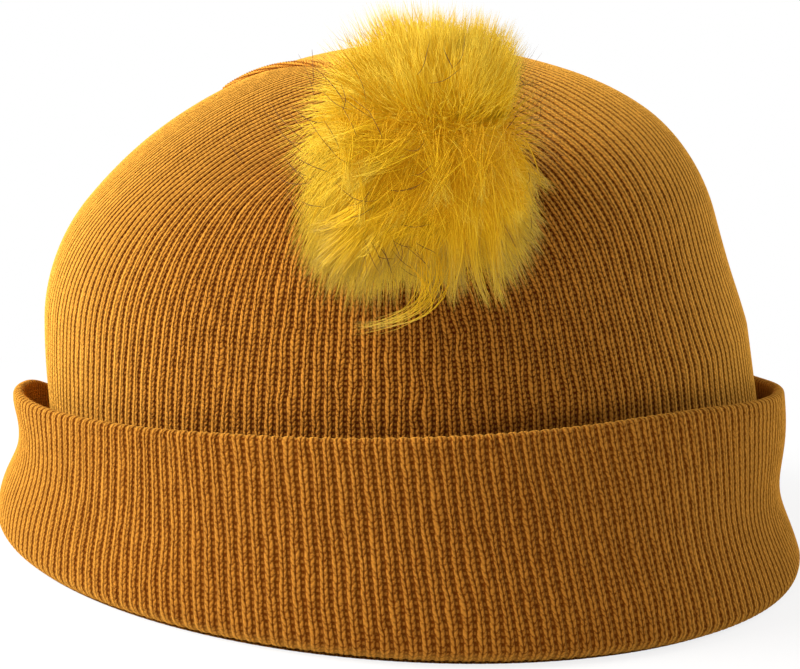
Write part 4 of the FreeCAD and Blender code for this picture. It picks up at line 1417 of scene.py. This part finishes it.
knit_outer = rib_knit("rib_knit", (0.51, 0.202, 0.025), (0.060, 0.008, 0.0002))
knit_cuff = rib_knit("cuff_rib_knit", (0.45, 0.178, 0.022), (0.100, 0.020, 0.001), edge_sheen=0.44)
knit_inner = rib_knit("lining_knit", (0.60, 0.245, 0.028), (0.050, 0.006, 0.0001))
for piece in crown_panels.values():
    wear(piece, knit_outer)
wear(cuff, knit_cuff)
wear(lining, knit_inner)
print("rib knit finish:", len(knit_outer.tree.nodes), "nodes")

# %% [markdown]
# ## The finish of the fur
# Each fibre is dyed through; its colour is painted deeper at its root, as shade from its neighbours, and
# paler at its tip. The colour attribute written on the fibres gives how far along a fibre a point is, a
# number drawn for the fibre, and how smoky its tip is; in the pile that smokiness is partly painted shade
# on the lower side of the fringe and on the side away from the key lamp. The fibres also glow faintly in
# their own colour, a painted light for what shines through the pile.

# %% Fur finish
def fur_finish(name, root, middle, tip, smoke_and_shade, glow=0.0):
    finish = Finish(name, Roughness=0.6, Specular_IOR_Level=0.10)
    fibre = finish.node("Attribute", {"attribute_name": "fibre"}, output="Color")
    along, draw, smoky = finish.node("SeparateColor", None, {0: fibre}, output=None)
    # Painted shade: the root colour is deeper, for the shade that neighbouring fibres cast.
    colour = finish.blend(along.between(0.05, 0.55), root, middle)
    colour = finish.blend(along.between(0.55, 1.0) * 0.8, colour, tip)
    colour = finish.blend((1 - draw.between(0.0, 0.45)) * 0.35, colour, root)
    colour = finish.blend(smoky * along.between(0.45, 0.95), colour, smoke_and_shade)
    finish.colour(colour)
    # Painted light: the fibres glow in their own colour, standing in for light that passes through the pile.
    finish.plug(finish.shader.inputs["Emission Color"], colour)
    finish.plug(finish.shader.inputs["Emission Strength"], glow)
    return finish


pile_finish = fur_finish("fur_pile", (0.52, 0.245, 0.0035), (0.60, 0.362, 0.0085), (0.66, 0.475, 0.05),
                         (0.22, 0.135, 0.05), glow=0.30)
guard_finish = fur_finish("fur_guard_hair", (0.20, 0.09, 0.02), (0.10, 0.04, 0.02), (0.06, 0.025, 0.02),
                          (0.06, 0.025, 0.02))
for piece in fur_pieces:
    wear(piece, pile_finish)
wear(strays, guard_finish)

# %% [markdown]
# ## The small parts' finishes
# The rest of the hat is hardly seen, but a reader who turns it over finds each piece in its own stuff:
# felt is matted fibre, an elastic cord has a braided cover, the disc is sheet plastic, and the button is
# moulded with a slight mottle. One short recipe each is enough.

# %% Small finishes
def fibrous(name, colour, dark, scale, depth, sheen=0.3):
    """Matted fibre: felt, wadding and the like."""
    finish = Finish(name, Roughness=0.95, Sheen_Weight=sheen, Sheen_Roughness=0.5, Specular_IOR_Level=0.2)
    matted = finish.grain(scale, 5.0, roughness=0.7)
    strands = finish.grain(scale * 0.5, 3.0, stretch=(1.0, 3.5, 1.6))
    finish.colour(finish.blend((matted * 0.6 + strands * 0.4).between(0.3, 0.7), dark, colour))
    finish.relief(matted * 0.7 + strands * 0.5, depth)
    return finish


def spun(name, colour, dark, plies, pitch, depth, braid=0.0):
    """Yarn or cord; UV is one round across and millimetres along, so the plies slant on it."""
    finish = Finish(name, Roughness=0.95, Sheen_Weight=0.1, Sheen_Tint=wool_sheen, Specular_IOR_Level=0.05)
    around, along, _ = finish.split(finish.place("UV"))
    first = (around * plies + along * (1.0 / pitch)).wave()
    second = (around * plies - along * (1.0 / pitch)).wave()
    ply = first * (1 - braid) + first.most(second) * braid
    fuzz = finish.grain(4200.0, 3.0, roughness=0.7)
    # Painted shade: the colour is darker in the grooves between the plies.
    finish.colour(finish.blend((ply * 0.75 + fuzz * 0.4).between(0.1, 0.9), dark, colour))
    finish.relief(ply + fuzz * 0.4, depth)
    return finish


def moulded(name, colour, dark, rough, scale):
    """Plastic with a faint mottle and a fine grain."""
    finish = Finish(name, Coat_Weight=0.1, Coat_Roughness=0.4)
    mottle = finish.grain(scale, 3.0)
    finish.colour(finish.blend(mottle.between(0.35, 0.7), dark, colour))
    finish.plug(finish.shader.inputs["Roughness"], rough + mottle * 0.15)
    finish.relief(finish.grain(scale * 12, 2.0), 0.02)
    return finish


felt = fibrous("felt", (0.23, 0.085, 0.012), (0.12, 0.04, 0.006), 900.0, 0.25)
fill_fibre = fibrous("wadding", (0.86, 0.84, 0.78), (0.62, 0.60, 0.55), 500.0, 0.5)
backing = fibrous("pelt_backing", (0.60, 0.36, 0.04), (0.36, 0.19, 0.02), 1400.0, 0.2)
seam_yarn = spun("seam_yarn", (0.66, 0.29, 0.04), (0.20, 0.055, 0.004), 2, 1.4, 0.10)
elastic = spun("elastic_cover", (0.36, 0.16, 0.025), (0.12, 0.04, 0.006), 6, 2.6, 0.10, braid=1.0)
sewing = spun("sewing_thread", (0.60, 0.42, 0.08), (0.30, 0.18, 0.03), 2, 0.6, 0.04)
button_plastic = moulded("button_plastic", (0.13, 0.045, 0.009), (0.07, 0.022, 0.005), 0.34, 120.0)
disc_plastic = moulded("disc_plastic", (0.72, 0.66, 0.52), (0.62, 0.56, 0.42), 0.5, 60.0)
WORN = {felt: [washer], fill_fibre: [wadding], backing: [pelt],
        seam_yarn: [*seams, inner_seams, gather_ring], elastic: [loop, tie], sewing: [thread],
        button_plastic: [frame["nodes"]["anchor_button"]], disc_plastic: [frame["nodes"]["pom_mouth_disc"]]}
for finish, pieces in WORN.items():
    for piece in pieces:
        wear(piece, finish)
print("small finishes:", ", ".join(finish.material.name for finish in WORN))

# %% [markdown]
# ## Floor and light
# The hat stands on a pale sweep in a bright room. One large soft lamp high on the left models the ribs,
# a dim one on the right and behind lifts the far edge, a faint one in front softens the shade, and the
# room fills the rest. The room shows pure white behind the hat. The sweep keeps the hat's soft shadow,
# and farther out it fades into that white.

# %% Floor
clear_selection()
bpy.ops.mesh.primitive_plane_add(size=6.0, location=(0, 0, -0.0002))
floor = bpy.context.object
floor.name = "floor"
sweep = Finish("pale_sweep", Roughness=1.0, Specular_IOR_Level=0.0)
floor_x, floor_y, _ = sweep.split(sweep.place())
away = (floor_x * floor_x + floor_y * floor_y) ** 0.5
sweep.colour(sweep.blend(away.between(0.1, 0.6), (0.90, 0.90, 0.90), (0.94, 0.94, 0.94)))
camera_ray, glossy_ray, clear_ray = [sweep.node("LightPath", output="Is %s Ray" % kind)
                                     for kind in ("Camera", "Glossy", "Transmission")]
watched = camera_ray.most(glossy_ray).most(clear_ray)
white = sweep.node("Emission", None, {"Strength": 1.0})
shown = sweep.node("MixShader", None, {0: watched * (0.80 + away.between(0.10, 0.22) * 0.20),
                                       1: Wire(sweep, sweep.shader.outputs[0]), 2: white})
sweep.plug(sweep.tree.nodes["Material Output"].inputs["Surface"], shown)
wear(floor, sweep)

# %% Room
room_light, room_seen = 0.34, 1.0
room = bpy.data.worlds.new("room")
bpy.context.scene.world = room
room.use_nodes = True
room_web = Web(room.node_tree)
camera_ray, clear_ray = [room_web.node("LightPath", output="Is %s Ray" % kind)
                         for kind in ("Camera", "Transmission")]
background = room.node_tree.nodes["Background"]
room_web.plug(background.inputs["Color"], (1, 1, 1))
room_web.plug(background.inputs["Strength"],
              camera_ray.most(clear_ray) * (room_seen - room_light) + room_light)


# %% Lamps
lamp_aim = Vector((0, 0, 70)) * mm


def lamp(name, place, size, watts, colour=(1, 1, 1)):
    """A round soft lamp that shines on the middle of the hat."""
    data = bpy.data.lights.new(name, "AREA")
    data.shape, data.size, data.energy, data.color = "DISK", size, watts, colour
    made = bpy.data.objects.new(name, data)
    bpy.context.scene.collection.objects.link(made)
    made.location = place
    made.rotation_euler = (lamp_aim - made.location).to_track_quat("-Z", "Y").to_euler()


lamp("key", (-1.10, -0.25, 0.80), 1.0, 38.0, (1.0, 0.97, 0.92))
lamp("front", (-0.30, -1.20, 0.85), 1.0, 3.0)
lamp("rim", (0.95, 0.40, 0.60), 0.7, 7.0)
